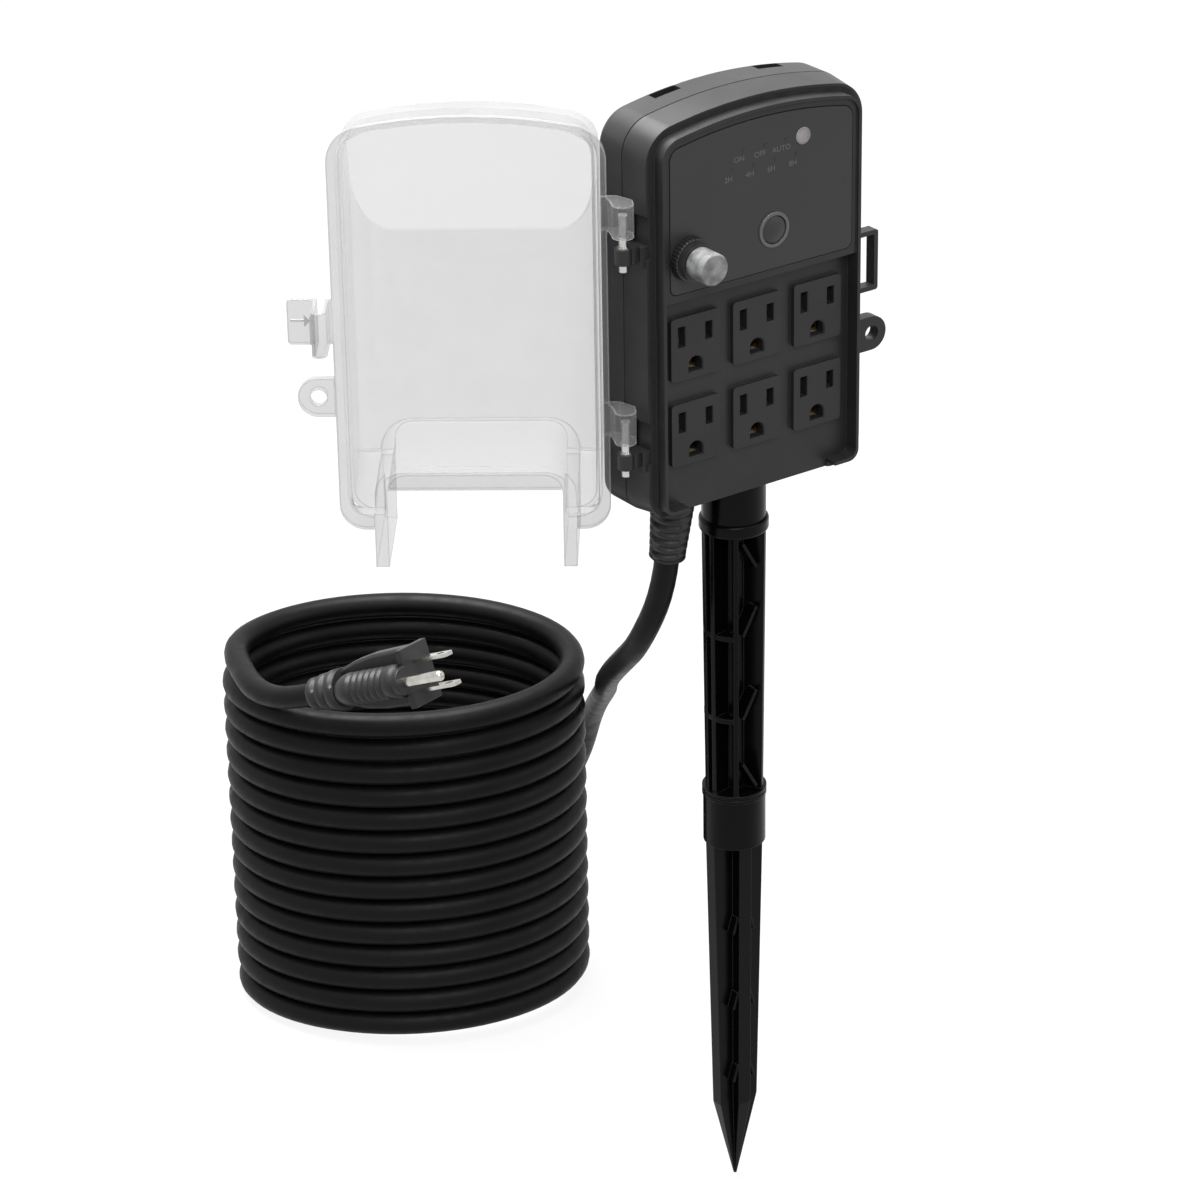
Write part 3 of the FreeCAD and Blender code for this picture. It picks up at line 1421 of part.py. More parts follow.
def build():
    nodes = {
        "front_housing": make_front_housing(),
        "rear_housing": make_rear_housing(),
        "housing_gasket": make_housing_gasket(),
        "cover_seal": make_cover_seal(),
        "control_panel": make_control_panel(),
        "stake_socket": make_stake_socket(),
        "button_ring": make_button_ring(),
        "button_cap": make_button_cap(),
        "tact_switch": make_tact_switch(),
        "control_board": make_control_board(),
        "contact_carrier": make_contact_carrier(),
        "strain_relief": make_strain_relief(),
        "upper_stake": make_upper_stake(),
        "lower_stake": make_lower_stake(),
        "cover_shell": swing_open(make_cover_shell()),
        "cover_latch": swing_open(make_cover_latch()),
        "cord_lead": make_cord_lead(),
        "cord_coil": make_cord_coil(),
        "cord_tail": make_cord_tail(),
    }
    for group in (make_screws(), make_photocell(), make_remote_eye(), make_indicator_pipes(),
                  make_board_parts(), make_buses(), make_supply(), make_hinge_pins(), make_plug()):
        nodes.update(group)
    return nodes


os.makedirs("parts", exist_ok=True)
for node_name, node_shape in build().items():
    if not node_shape.isValid() or len(node_shape.Solids) != 1:
        print("check", node_name, node_shape.isValid(), len(node_shape.Solids))
    node_shape.exportStep("parts/" + node_name + ".step")
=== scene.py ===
import logging
import math
from dataclasses import dataclass
from enum import Enum
from typing import Any, Callable, Iterable, Sequence

import bmesh
import bpy
from mathutils import Matrix, Vector


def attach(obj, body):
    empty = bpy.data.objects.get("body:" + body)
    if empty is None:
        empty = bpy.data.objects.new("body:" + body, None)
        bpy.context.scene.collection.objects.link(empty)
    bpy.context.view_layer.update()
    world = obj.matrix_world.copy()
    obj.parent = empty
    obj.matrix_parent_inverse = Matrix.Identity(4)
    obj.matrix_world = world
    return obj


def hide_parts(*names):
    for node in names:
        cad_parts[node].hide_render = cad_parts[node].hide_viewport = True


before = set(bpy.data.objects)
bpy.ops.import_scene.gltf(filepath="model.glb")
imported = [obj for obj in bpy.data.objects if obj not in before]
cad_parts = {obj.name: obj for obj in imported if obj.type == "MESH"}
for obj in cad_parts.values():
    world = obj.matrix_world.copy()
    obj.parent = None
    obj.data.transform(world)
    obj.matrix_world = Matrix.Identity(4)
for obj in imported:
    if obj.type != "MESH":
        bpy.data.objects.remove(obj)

logging.basicConfig(level=logging.INFO, format="%(message)s")
log = logging.getLogger("garden_socket_spike")

MM = 0.001
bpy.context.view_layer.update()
Point = tuple[float, float, float]
Material = bpy.types.Material
Tree = bpy.types.NodeTree
Socket = bpy.types.NodeSocket


class Body(Enum):
    """The rigid bodies that pieces ride on."""

    HOUSING = "housing"
    COVER = "cover"
    LATCH = "latch"
    BUTTON = "button"


class Slot(Enum):
    """The record's material slots, which no piece in this script takes its finish from."""

    PANEL = "panel_film"
    CORD = "cord_pvc"
    CLEAR = "clear_plastic"


def srgb(code: str, alpha: float = 1.0) -> tuple[float, float, float, float]:
    """Turn a written sRGB colour into the linear values that shaders take.

    Args:
        code: The colour as six hex digits with a leading hash.
        alpha: The fourth value of the result.

    Returns:
        Linear red, green and blue, and alpha.
    """
    parts = [int(code[i : i + 2], 16) / 255 for i in (1, 3, 5)]
    linear = [p / 12.92 if p <= 0.04045 else ((p + 0.055) / 1.055) ** 2.4 for p in parts]
    return linear[0], linear[1], linear[2], alpha


def add_node(
    tree: Tree,
    kind: str,
    settings: dict[Any, Any] | None = None,
    links: dict[Any, Socket] | None = None,
) -> bpy.types.Node:
    """Add one shader node with its settings and incoming links.

    Args:
        tree: The node tree that gets the node.
        kind: The node's Blender type name.
        settings: Values by input name or number, or by property name.
        links: Sources by input name or number.

    Returns:
        The new node.
    """
    node = tree.nodes.new(kind)
    for key, value in (settings or {}).items():
        if isinstance(key, int) or key in node.inputs:
            node.inputs[key].default_value = value
        else:
            setattr(node, key, value)
    for key, source in (links or {}).items():
        tree.links.new(source, node.inputs[key])
    return node


@dataclass(frozen=True)
class Finish:
    """A surface: its colour and how it was made.

    Attributes:
        name: Common name of the material and how its surface was made.
        colour: Base colour as an sRGB hex value.
        roughness: Middle value of the surface's roughness.
    """

    name: str
    colour: str
    roughness: float

    def begin(self) -> tuple[Material, Tree, bpy.types.Node]:
        """Make an empty material with its shader and output.

        Returns:
            The material, its node tree and its principled shader.
        """
        material = bpy.data.materials.new(self.name)
        material.use_nodes = True
        tree = material.node_tree
        tree.nodes.clear()
        shader = add_node(
            tree,
            "ShaderNodeBsdfPrincipled",
            {"Base Color": srgb(self.colour), "Roughness": self.roughness},
        )
        add_node(tree, "ShaderNodeOutputMaterial", links={"Surface": shader.outputs[0]})
        return material, tree, shader

    def vary(
        self, tree: Tree, shader: bpy.types.Node, second: str, share: Socket, gloss: Socket
    ) -> Socket:
        """Let the colour and the roughness change over the surface.

        Args:
            tree: The material's node tree.
            shader: The shader that gets both.
            second: Colour that the finish's own colour changes to.
            share: Part of that second colour.
            gloss: The roughness.

        Returns:
            The changing colour.
        """
        mixed = blend_colours(tree, share, self.colour, second)
        tree.links.new(mixed, shader.inputs["Base Color"])
        tree.links.new(gloss, shader.inputs["Roughness"])
        return mixed

    def make(self) -> Material:
        """Build the material."""
        return self.begin()[0]

    @property
    def material(self) -> Material:
        """The material, built the first time that it is asked for."""
        found = bpy.data.materials.get(self.name)
        return found or self.make()


def speckle(tree: Tree, size_mm: float, detail: float = 2.0) -> Socket:
    """Noise over the object's own space whose blotches have a real size.

    Args:
        tree: The material's node tree.
        size_mm: Size of one blotch in millimetres.
        detail: Octaves of finer noise on top.

    Returns:
        The noise value, about 0.5 in its middle.
    """
    place = add_node(tree, "ShaderNodeTexCoord")
    noise = add_node(
        tree,
        "ShaderNodeTexNoise",
        {"Scale": 1.0 / (size_mm * MM), "Detail": detail, "Roughness": 0.55},
        {"Vector": place.outputs["Object"]},
    )
    return noise.outputs["Fac"]


def spread(tree: Tree, source: Socket, low: float, high: float) -> Socket:
    """Map a noise value to a range of its own.

    Args:
        tree: The material's node tree.
        source: A value around 0.5.
        low: What 0.3 becomes.
        high: What 0.7 becomes.

    Returns:
        The mapped value.
    """
    mapped = add_node(
        tree,
        "ShaderNodeMapRange",
        {"From Min": 0.3, "From Max": 0.7, "To Min": low, "To Max": high},
        {"Value": source},
    )
    return mapped.outputs["Result"]


def blend_colours(tree: Tree, share: Socket, first: str, second: str) -> Socket:
    """Mix two written colours by a share that varies over the surface.

    Args:
        tree: The material's node tree.
        share: Part of the second colour, from 0 to 1.
        first: The colour at share 0.
        second: The colour at share 1.

    Returns:
        The mixed colour.
    """
    mix = add_node(
        tree,
        "ShaderNodeMix",
        {"data_type": "RGBA", 6: srgb(first), 7: srgb(second)},
        {0: share},
    )
    return mix.outputs[2]


def edge_share(tree: Tree, rounded: Socket, start: float, full: float, most: float) -> Socket:
    """Share that grows towards an edge, where the rounded normal leaves the flat one.

    Args:
        tree: The material's node tree.
        rounded: Normal with the edges rounded.
        start: Cosine between the two normals at which the share begins.
        full: Cosine at which it is whole.
        most: The whole share.

    Returns:
        The share.
    """
    flat = add_node(tree, "ShaderNodeNewGeometry")
    facing = add_node(
        tree,
        "ShaderNodeVectorMath",
        {"operation": "DOT_PRODUCT"},
        {0: rounded, 1: flat.outputs["Normal"]},
    )
    share = add_node(
        tree,
        "ShaderNodeMapRange",
        {"From Min": start, "From Max": full, "To Min": 0.0, "To Max": most},
        {"Value": facing.outputs["Value"]},
    )
    return share.outputs["Result"]


@dataclass(frozen=True)
class MouldedPlastic(Finish):
    """Injection-moulded plastic with a spark-eroded grain and softly rounded edges.

    Attributes:
        edge_wear_and_highlight: Colour that handling gives to edges and high spots; on the polished
            polypropylene its edges are a painted highlight.
        grain_mm: Width of one grain of the mould's texture.
        grain_depth_mm: Height of that grain.
        edge_mm: Radius of the moulded edges.
        ior: Index of refraction.
        specular: Strength of the surface reflection.
        handled: Most of the worn colour that flat faces take in patches.
        patch_mm: Width of those patches.
        smudge_mm: Width of the smudges that change its gloss.
    """

    edge_wear_and_highlight: str = "#3a3a3b"
    grain_mm: float = 0.5
    grain_depth_mm: float = 0.012
    edge_mm: float = 0.35
    ior: float = 1.5
    specular: float = 0.5
    handled: float = 0.35
    patch_mm: float = 24.0
    smudge_mm: float = 9.0

    def make(self) -> Material:
        """Build the plastic with grain, edge wear (a painted highlight on the polished polypropylene's
        edges) and uneven gloss.

        Returns:
            The material.
        """
        material, tree, shader = self.begin()
        shader.inputs["IOR"].default_value = self.ior
        shader.inputs["Specular IOR Level"].default_value = self.specular
        rounded = add_node(tree, "ShaderNodeBevel", {"samples": 4, "Radius": self.edge_mm * MM})
        edge = edge_share(tree, rounded.outputs[0], start=0.98, full=0.8, most=0.8)
        patches = spread(tree, speckle(tree, self.patch_mm, detail=4.0), 0.0, self.handled)
        # Edges and patches take the second colour: wear, and on the polished polypropylene's edges a
        # painted highlight
        rubbed = add_node(tree, "ShaderNodeMath", {"operation": "MAXIMUM"}, {0: edge, 1: patches})
        smudges = speckle(tree, self.smudge_mm, detail=3.0)
        gloss = spread(tree, smudges, self.roughness * 0.9, self.roughness * 1.12)
        self.vary(tree, shader, self.edge_wear_and_highlight, rubbed.outputs[0], gloss)
        grain = add_node(
            tree,
            "ShaderNodeBump",
            {"Strength": 0.6, "Distance": self.grain_depth_mm * MM},
            {"Height": speckle(tree, self.grain_mm, detail=1.0), "Normal": rounded.outputs[0]},
        )
        tree.links.new(grain.outputs[0], shader.inputs["Normal"])
        return material


@dataclass(frozen=True)
class ClearPlastic(Finish):
    """Clear moulded polycarbonate, hazed a little by its mould's grain and by handling.

    Attributes:
        tint: What one face of the wall lets through.
        haze: Share of light that one face scatters when it is seen squarely.
        edge_haze: Share that is added where a face turns away.
        rim_haze: Share that is added along the rims, which pipe light.
        mirror: Part of the full mirror gloss that the grain leaves.
        rim: Colour that the wall takes where it turns away from the eye, a painted sheen, which is the
            brightest.
        ior: Index of refraction.
        smear_mm: Width of the smears that dull its gloss.
        rim_mm: Width of the band along an edge that counts as its rim.
        ripple_mm: Width of the flow ripples that bend the mirrored room.
        ripple_depth_mm: Height of those ripples.
    """

    tint: str = "#eeeeee"
    haze: float = 0.15
    edge_haze: float = 0.06
    rim_haze: float = 0.6
    mirror: float = 0.6
    rim: str = "#ffffff"
    ior: float = 1.5
    smear_mm: float = 18.0
    rim_mm: float = 1.1
    ripple_mm: float = 20.0
    ripple_depth_mm: float = 0.03

    def haze_share(self, tree: Tree, smears: Socket, rounded: Socket) -> Socket:
        """Share of light that the wall scatters: more where it turns away and along its rims.

        Args:
            tree: The material's node tree.
            smears: Noise of the handling smears.
            rounded: Normal with the edges rounded.

        Returns:
            The share, from 0 to 1.
        """
        turned = add_node(tree, "ShaderNodeLayerWeight", {"Blend": 0.3})
        rim = edge_share(tree, rounded, start=0.995, full=0.85, most=self.rim_haze)
        edge = add_node(
            tree,
            "ShaderNodeMath",
            {"operation": "MULTIPLY_ADD", 1: self.edge_haze},
            {0: turned.outputs["Facing"], 2: spread(tree, smears, self.haze * 0.9, self.haze * 1.1)},
        )
        total = add_node(
            tree, "ShaderNodeMath", {"operation": "ADD", "use_clamp": True}, {0: edge.outputs[0], 1: rim}
        )
        return total.outputs[0]

    def make(self) -> Material:
        """Build the clear plastic as see-through, scattering and mirroring shares.

        Returns:
            The material.
        """
        material, tree, shader = self.begin()
        smears = speckle(tree, self.smear_mm, detail=3.0)
        rounded = add_node(
            tree, "ShaderNodeBevel", {"samples": 4, "Radius": self.rim_mm * MM}
        ).outputs[0]
        ripple = add_node(
            tree,
            "ShaderNodeBump",
            {"Strength": 0.1, "Distance": self.ripple_depth_mm * MM},
            {"Height": speckle(tree, self.ripple_mm, detail=1.0), "Normal": rounded},
        ).outputs[0]
        gloss = spread(tree, smears, self.roughness * 0.7, self.roughness * 1.4)
        shader.inputs["Specular IOR Level"].default_value = 0.0
        tree.links.new(ripple, shader.inputs["Normal"])
        # Painted sheen: the wall's colour turns to the near-white rim colour where it faces away from
        # the eye
        turned = add_node(tree, "ShaderNodeLayerWeight", {"Blend": 0.4}, {"Normal": rounded})
        painted_sheen_colour = self.vary(tree, shader, self.rim, turned.outputs["Facing"], gloss)
        back = add_node(tree, "ShaderNodeBsdfTranslucent", links={"Color": painted_sheen_colour, "Normal": ripple})
        scatter = add_node(
            tree, "ShaderNodeMixShader", {0: 0.5}, {1: shader.outputs[0], 2: back.outputs[0]}
        )
        through = add_node(tree, "ShaderNodeBsdfTransparent", {"Color": srgb(self.tint)})
        hazy = self.haze_share(tree, smears, rounded)
        wall = add_node(
            tree,
            "ShaderNodeMixShader",
            links={0: hazy, 1: through.outputs[0], 2: scatter.outputs[0]},
        )
        gleam = add_node(
            tree, "ShaderNodeBsdfAnisotropic", links={"Roughness": gloss, "Normal": ripple}
        )
        side = add_node(tree, "ShaderNodeNewGeometry")
        outer = add_node(
            tree,
            "ShaderNodeMath",
            {"operation": "MULTIPLY_ADD", 1: -self.mirror, 2: self.mirror},
            {0: side.outputs["Backfacing"]},
        )
        bounce = add_node(tree, "ShaderNodeFresnel", {"IOR": self.ior}, {"Normal": ripple})
        mirrored = add_node(
            tree,
            "ShaderNodeMath",
            {"operation": "MULTIPLY"},
            {0: bounce.outputs[0], 1: outer.outputs[0]},
        )
        both = add_node(
            tree,
            "ShaderNodeMixShader",
            links={0: mirrored.outputs[0], 1: wall.outputs[0], 2: gleam.outputs[0]},
        )
        output = next(n for n in tree.nodes if n.type == "OUTPUT_MATERIAL")
        tree.links.new(both.outputs[0], output.inputs["Surface"])
        return material


@dataclass(frozen=True)
class Elastomer(Finish):
    """Extruded or moulded rubber and soft vinyl with a slightly uneven skin.

    Attributes:
        bloom: Paler colour that the skin takes in patches.
        skin_mm: Size of the skin's unevenness.
        specular: Strength of the surface reflection.
        bloom_mm: Width of the paler patches.
        rub_mm: Width of the patches that are rubbed smoother.
        skin_depth_mm: Height of the skin's unevenness.
    """

    bloom: str = "#2c2c2d"
    skin_mm: float = 2.2
    specular: float = 0.5
    bloom_mm: float = 30.0
    rub_mm: float = 6.0
    skin_depth_mm: float = 0.03

    def make(self) -> Material:
        """Build the rubber with blooming and a lightly pebbled skin.

        Returns:
            The material.
        """
        material, tree, shader = self.begin()
        shader.inputs["Specular IOR Level"].default_value = self.specular
        patches = spread(tree, speckle(tree, self.bloom_mm, detail=4.0), 0.0, 0.6)
        rubbed = speckle(tree, self.rub_mm, detail=3.0)
        gloss = spread(tree, rubbed, self.roughness * 0.85, self.roughness * 1.2)
        self.vary(tree, shader, self.bloom, patches, gloss)
        skin = add_node(
            tree,
            "ShaderNodeBump",
            {"Strength": 0.3, "Distance": self.skin_depth_mm * MM},
            {"Height": speckle(tree, self.skin_mm)},
        )
        tree.links.new(skin.outputs[0], shader.inputs["Normal"])
        return material


@dataclass(frozen=True)
class BareMetal(Finish):
    """Plated, drawn or stamped metal with fine working marks.

    Attributes:
        tarnish: Colour of its duller patches.
        mark_mm: Width of the working marks.
        mark_depth_mm: Depth of those marks.
        dull_mm: Width of the duller patches.
        along: Axis that the marks run along, as stretch factors of the noise.
    """

    tarnish: str = "#8c8a86"
    mark_mm: float = 0.4
    mark_depth_mm: float = 0.01
    dull_mm: float = 5.0
    along: Point = (1.0, 1.0, 0.08)

    def make(self) -> Material:
        """Build the metal with marks that run one way.

        Returns:
            The material.
        """
        material, tree, shader = self.begin()
        shader.inputs["Metallic"].default_value = 1.0
        place = add_node(tree, "ShaderNodeTexCoord")
        run = add_node(
            tree, "ShaderNodeMapping", {"Scale": self.along}, {"Vector": place.outputs["Object"]}
        )
        marks = add_node(
            tree,
            "ShaderNodeTexNoise",
            {"Scale": 1.0 / (self.mark_mm * MM), "Detail": 3.0},
            {"Vector": run.outputs[0]},
        )
        dull = spread(tree, speckle(tree, self.dull_mm, detail=3.0), 0.0, 0.5)
        gloss = spread(tree, marks.outputs["Fac"], self.roughness * 0.7, self.roughness * 1.3)
        self.vary(tree, shader, self.tarnish, dull, gloss)
        bump = add_node(
            tree,
            "ShaderNodeBump",
            {"Strength": 0.2, "Distance": self.mark_depth_mm * MM},
            {"Height": marks.outputs["Fac"]},
        )
        tree.links.new(bump.outputs[0], shader.inputs["Normal"])
        return material


@dataclass(frozen=True)
class MilkyPlastic(Finish):
    """Frosted translucent plastic that glows from light behind it.

    Attributes:
        cloud: Colour of its denser clouds.
        clear: Share of the light that passes through.
        cloud_mm: Width of the clouds.
        frost_mm: Width of the grain that changes its gloss.
    """

    cloud: str = "#d8d8d8"
    clear: float = 0.45
    cloud_mm: float = 3.5
    frost_mm: float = 1.2

    def make(self) -> Material:
        """Build the frosted plastic with faint clouds in it.

        Returns:
            The material.
        """
        material, tree, shader = self.begin()
        shader.inputs["Transmission Weight"].default_value = self.clear
        clouds = spread(tree, speckle(tree, self.cloud_mm, detail=4.0), 0.0, 1.0)
        frost = speckle(tree, self.frost_mm)
        gloss = spread(tree, frost, self.roughness * 0.8, self.roughness * 1.2)
        self.vary(tree, shader, self.cloud, clouds, gloss)
        return material


# Textured ABS reads as a dark satin grey, brightest where its grain faces the light
BLACK_ABS = MouldedPlastic("black_abs_spark_textured", "#262627", 0.42, specular=0.3)
# The printed film over the controls is smoother than the shell round it
BLACK_FILM = MouldedPlastic(
    "black_polycarbonate_film_satin", "#303031", 0.38, edge_wear_and_highlight="#39393a", grain_mm=0.35, edge_mm=0.2,
    specular=0.38,
)
# Polypropylene from a polished mould is nearly black, with thin sharp highlights on its edges, partly
# painted as a paler edge colour
BLACK_PP = MouldedPlastic(
    "black_polypropylene_polished", "#050505", 0.26, edge_wear_and_highlight="#3a3a3b", grain_mm=1.8,
    grain_depth_mm=0.02, edge_mm=0.6, specular=0.09, handled=0.03,
)
# The sensor's base is the same ABS with a finer grain on its knurl
BLACK_KNURL = MouldedPlastic(
    "black_abs_fine_textured", "#121213", 0.4, edge_wear_and_highlight="#333334", grain_mm=0.3, edge_mm=0.15
)
# Clear polycarbonate looks pale grey over a white room and near white along its rims, partly from a
# painted sheen where the wall turns away
CLEAR_PC = ClearPlastic("clear_polycarbonate_moulded", "#cfd0d0", 0.14)
# Soft vinyl sheath, extruded, with a broad soft highlight along each turn
BLACK_PVC = Elastomer("black_pvc_extruded", "#0a0a0b", 0.45, bloom="#121213", specular=0.12)
# Moulded vinyl of the plug and the boot is greyer than the sheath, partly painted light that lifts the
# plug's face, and shines a little more
PLUG_PVC = Elastomer("black_pvc_moulded", "#1e1e1f", 0.42, bloom="#2c2c2d", skin_mm=0.8, specular=0.3)
# Foam rubber cord drinks the light
SEAL_RUBBER = Elastomer("epdm_foam_skinned", "#0b0b0b", 0.8, bloom="#1a1a1a", skin_mm=0.6)
# Nickel plate mirrors the white room
NICKEL = BareMetal("brass_nickel_plated", "#cfccc6", 0.2)
# Cold-drawn pin steel, bright with faint lengthwise lines
PIN_STEEL = BareMetal("steel_cold_drawn", "#cfcdca", 0.25)
# Zinc-plated screws look slightly milky
SCREW_STEEL = BareMetal("steel_zinc_plated", "#b9babb", 0.35, along=(1.0, 1.0, 1.0))
# Stamped brass of the contacts
BRASS = BareMetal("brass_stamped", "#c9a55a", 0.3, tarnish="#8a6a32")
# Deep-drawn capacitor can
CAN = BareMetal("aluminium_deep_drawn", "#b8b9bb", 0.35)
# Varnished laminations of the small transformer
IRON = BareMetal("silicon_steel_varnished", "#3c3833", 0.5, tarnish="#2a2724")
# Frosted cap over the light cell, grey inside and paler on its tip
FROSTED_PC = MilkyPlastic("polycarbonate_frosted", "#7c7d7e", 0.42)
# Water-clear window over the receiver
WINDOW_PC = MilkyPlastic("acrylic_polished", "#e8e4e6", 0.12, cloud="#f4eef1", clear=0.7)
# Cast epoxy of the receiver and the cell, with its pink tint
TINTED_EPOXY = MilkyPlastic("epoxy_cast_tinted", "#c99aa6", 0.25, cloud="#a9707f", clear=0.3)
# Light pipes are small clear rods that read dark over the dark inside
LIGHT_PIPE = MilkyPlastic("acrylic_light_pipe", "#2a2a2b", 0.25, cloud="#1d1d1e", clear=0.2)
# The arrow of the latch is left matt in the mould, so it reads white on the clear plate
MATT_PC = MouldedPlastic(
    "polycarbonate_etched_white", "#f2f2f2", 0.55, edge_wear_and_highlight="#ffffff", grain_mm=0.4,
    grain_depth_mm=0.006, edge_mm=0.1,
)
# Printed legends, a dark grey ink only a little paler than the film
GREY_INK = MouldedPlastic(
    "screen_ink_grey", "#6a6a6b", 0.5, edge_wear_and_highlight="#58585a", grain_mm=0.4, grain_depth_mm=0.004, edge_mm=0.05
)
# Satin ring of the button, a paler grey plastic than the film
GREY_ABS = MouldedPlastic(
    "grey_abs_satin", "#5c5c5e", 0.34, edge_wear_and_highlight="#8a8a8c", grain_mm=0.4, grain_depth_mm=0.006, edge_mm=0.25
)
# Glass-filled nylon inside the box
CREAM_NYLON = MouldedPlastic(
    "glass_filled_nylon_moulded", "#b7ae97", 0.5, edge_wear_and_highlight="#cbc3ae", grain_mm=0.8, edge_mm=0.3
)
# Solder mask over the board's laminate
GREEN_BOARD = MouldedPlastic(
    "fr4_solder_masked", "#1d5a2c", 0.35, edge_wear_and_highlight="#2b7a3e", grain_mm=1.2, edge_mm=0.1
)
# Insulation of the three cores
WHITE_CORE = Elastomer("white_pvc_extruded", "#dcdad4", 0.4, bloom="#cfccc4")
GREEN_CORE = Elastomer("green_pvc_extruded", "#1f7a36", 0.4, bloom="#2a8c42")


@dataclass
class Assembly:
    """A sub-assembly whose CAD nodes get their finishes.

    Attributes:
        finishes: The nodes' names under each finish.
    """

    finishes: dict[Finish, tuple[str, ...]]

    def build(self) -> None:
        """Give each node of the assembly its finish."""
        for finish, names in self.finishes.items():
            for name in names:
                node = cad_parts[name]
                node.data.materials.clear()
                node.data.materials.append(finish.material)
                log.info("dressed %s in %s", name, finish.name)


def new_object(name: str, data: bpy.types.ID) -> bpy.types.Object:
    """Make an object and link it to the scene.

    Args:
        name: The object's name.
        data: Its mesh, curve, text, lamp or camera.

    Returns:
        The linked object.
    """
    made = bpy.data.objects.new(name, data)
    bpy.context.scene.collection.objects.link(made)
    return made


def new_piece(
    name: str, mesh: bpy.types.Mesh, finish: Finish, body: Body, smooth: bool = True
) -> bpy.types.Object:
    """Link a mesh as a piece that rides on a body.

    Args:
        name: The piece's name.
        mesh: Its mesh, in the row frame, in metres.
        finish: Its surface.
        body: The body that carries it.
        smooth: Whether its faces are shaded as curved.

    Returns:
        The linked object.
    """
    piece = new_object(name, mesh)
    mesh.materials.append(finish.material)
    mesh.polygons.foreach_set("use_smooth", [smooth] * len(mesh.polygons))
    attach(piece, body.value)
    log.info("built %s with %d faces", name, len(mesh.polygons))
    return piece


def soften_edges(piece: bpy.types.Object, width_mm: float, segments: int = 3) -> None:
    """Round a piece's sharp edges with real geometry.

    Args:
        piece: The object to round.
        width_mm: Width of the rounding.
        segments: Faces across it.
    """
    bevel = piece.modifiers.new("rounding", "BEVEL")
    bevel.width = width_mm * MM
    bevel.segments = segments
    bevel.limit_method = "ANGLE"
    bevel.angle_limit = math.radians(40)
    bevel.harden_normals = True


def close_skin(
    shape: bmesh.types.BMesh, rings: Sequence[Sequence[bmesh.types.BMVert]], name: str
) -> bpy.types.Mesh:
    """Join rings of points one after the other and close both ends.

    Args:
        shape: The mesh under work, which is freed.
        rings: Points of each ring, as many in each.
        name: The mesh's name.

    Returns:
        The closed mesh.
    """
    for low, high in zip(rings, rings[1:]):
        count = len(low)
        for i in range(count):
            after = (i + 1) % count
            shape.faces.new((low[i], low[after], high[after], high[i]))
    shape.faces.new(rings[0])
    shape.faces.new(rings[-1])
    bmesh.ops.recalc_face_normals(shape, faces=shape.faces)
    mesh = bpy.data.meshes.new(name)
    shape.to_mesh(mesh)
    shape.free()
    return mesh


def lathe(
    rows: Sequence[tuple[float, float]],
    place: Matrix,
    steps: int = 48,
    wobble: Callable[[int, float], float] | None = None,
) -> bpy.types.Mesh:
    """Turn a profile round the local X axis into a closed skin.

    Args:
        rows: Position along the axis and radius of each row, in millimetres.
        place: Where the local axes are, in metres.
        steps: Faces round the axis.
        wobble: Change of radius by row number and angle, in millimetres.

    Returns:
        The mesh, in the row frame.
    """
    shape = bmesh.new()
    rings = []
    for number, (x, radius) in enumerate(rows):
        ring = []
        for step in range(steps):
            angle = 2 * math.pi * step / steps
            reach = radius + (wobble(number, angle) if wobble else 0.0)
            spot = Vector((x, reach * math.cos(angle), reach * math.sin(angle))) * MM
            ring.append(shape.verts.new(place @ spot))
        rings.append(ring)
    return close_skin(shape, rings, "lathe")


def prism(
    sections: Sequence[tuple[float, Sequence[tuple[float, float]]]], place: Matrix
) -> bpy.types.Mesh:
    """Loft closed outlines along the local X axis.

    Args:
        sections: Position along the axis and the outline there, in millimetres.
        place: Where the local axes are, in metres.

    Returns:
        The closed mesh, in the row frame.
    """
    shape = bmesh.new()
    rings = [
        [shape.verts.new(place @ (Vector((x, y, z)) * MM)) for y, z in outline]
        for x, outline in sections
    ]
    return close_skin(shape, rings, "prism")


def groove_depth(facing: float, deepest: float, bridge: float, steepness: float) -> float:
    """Depth of a ring groove that two bridges break.

    Args:
        facing: 0 in the middle of a bridge and 1 farthest from both.
        deepest: Depth of the groove between its bridges, in millimetres.
        bridge: Where on the way from 0 to 1 a bridge ends.
        steepness: How fast the groove gets its depth from there.

    Returns:
        The change of radius, in millimetres.
    """
    return -deepest * min(1.0, max(0.0, (facing - bridge) * steepness))


@dataclass
class PhotoCamera:
    """The camera of the photograph, solved from the outlets' known sizes."""

    place: Point = (-0.9627, -1.2703, 1.0155)
    back: Point = (-0.5223, -0.7384, 0.4266)  # Direction from the object to the camera
    roll_deg: float = -0.932
    lens_mm: float = 135.0
    sensor_mm: float = 36.0
    clips: tuple[float, float] = (0.05, 30.0)

    def build(self) -> None:
        """Place the camera and make it the scene's."""
        data = bpy.data.cameras.new("photo_camera")
        data.lens = self.lens_mm
        data.sensor_width = self.sensor_mm
        data.clip_start, data.clip_end = self.clips
        back = Vector(self.back).normalized()
        side = Vector((0, 0, 1)).cross(back).normalized()
        up = back.cross(side)
        roll = math.radians(self.roll_deg)
        right = side * math.cos(roll) + up * math.sin(roll)
        above = up * math.cos(roll) - side * math.sin(roll)
        camera = new_object("photo_camera", data)
        turn = Matrix((right, above, back)).transposed().to_4x4()
        camera.matrix_world = Matrix.Translation(self.place) @ turn
        bpy.context.scene.camera = camera
        log.info("placed the camera")


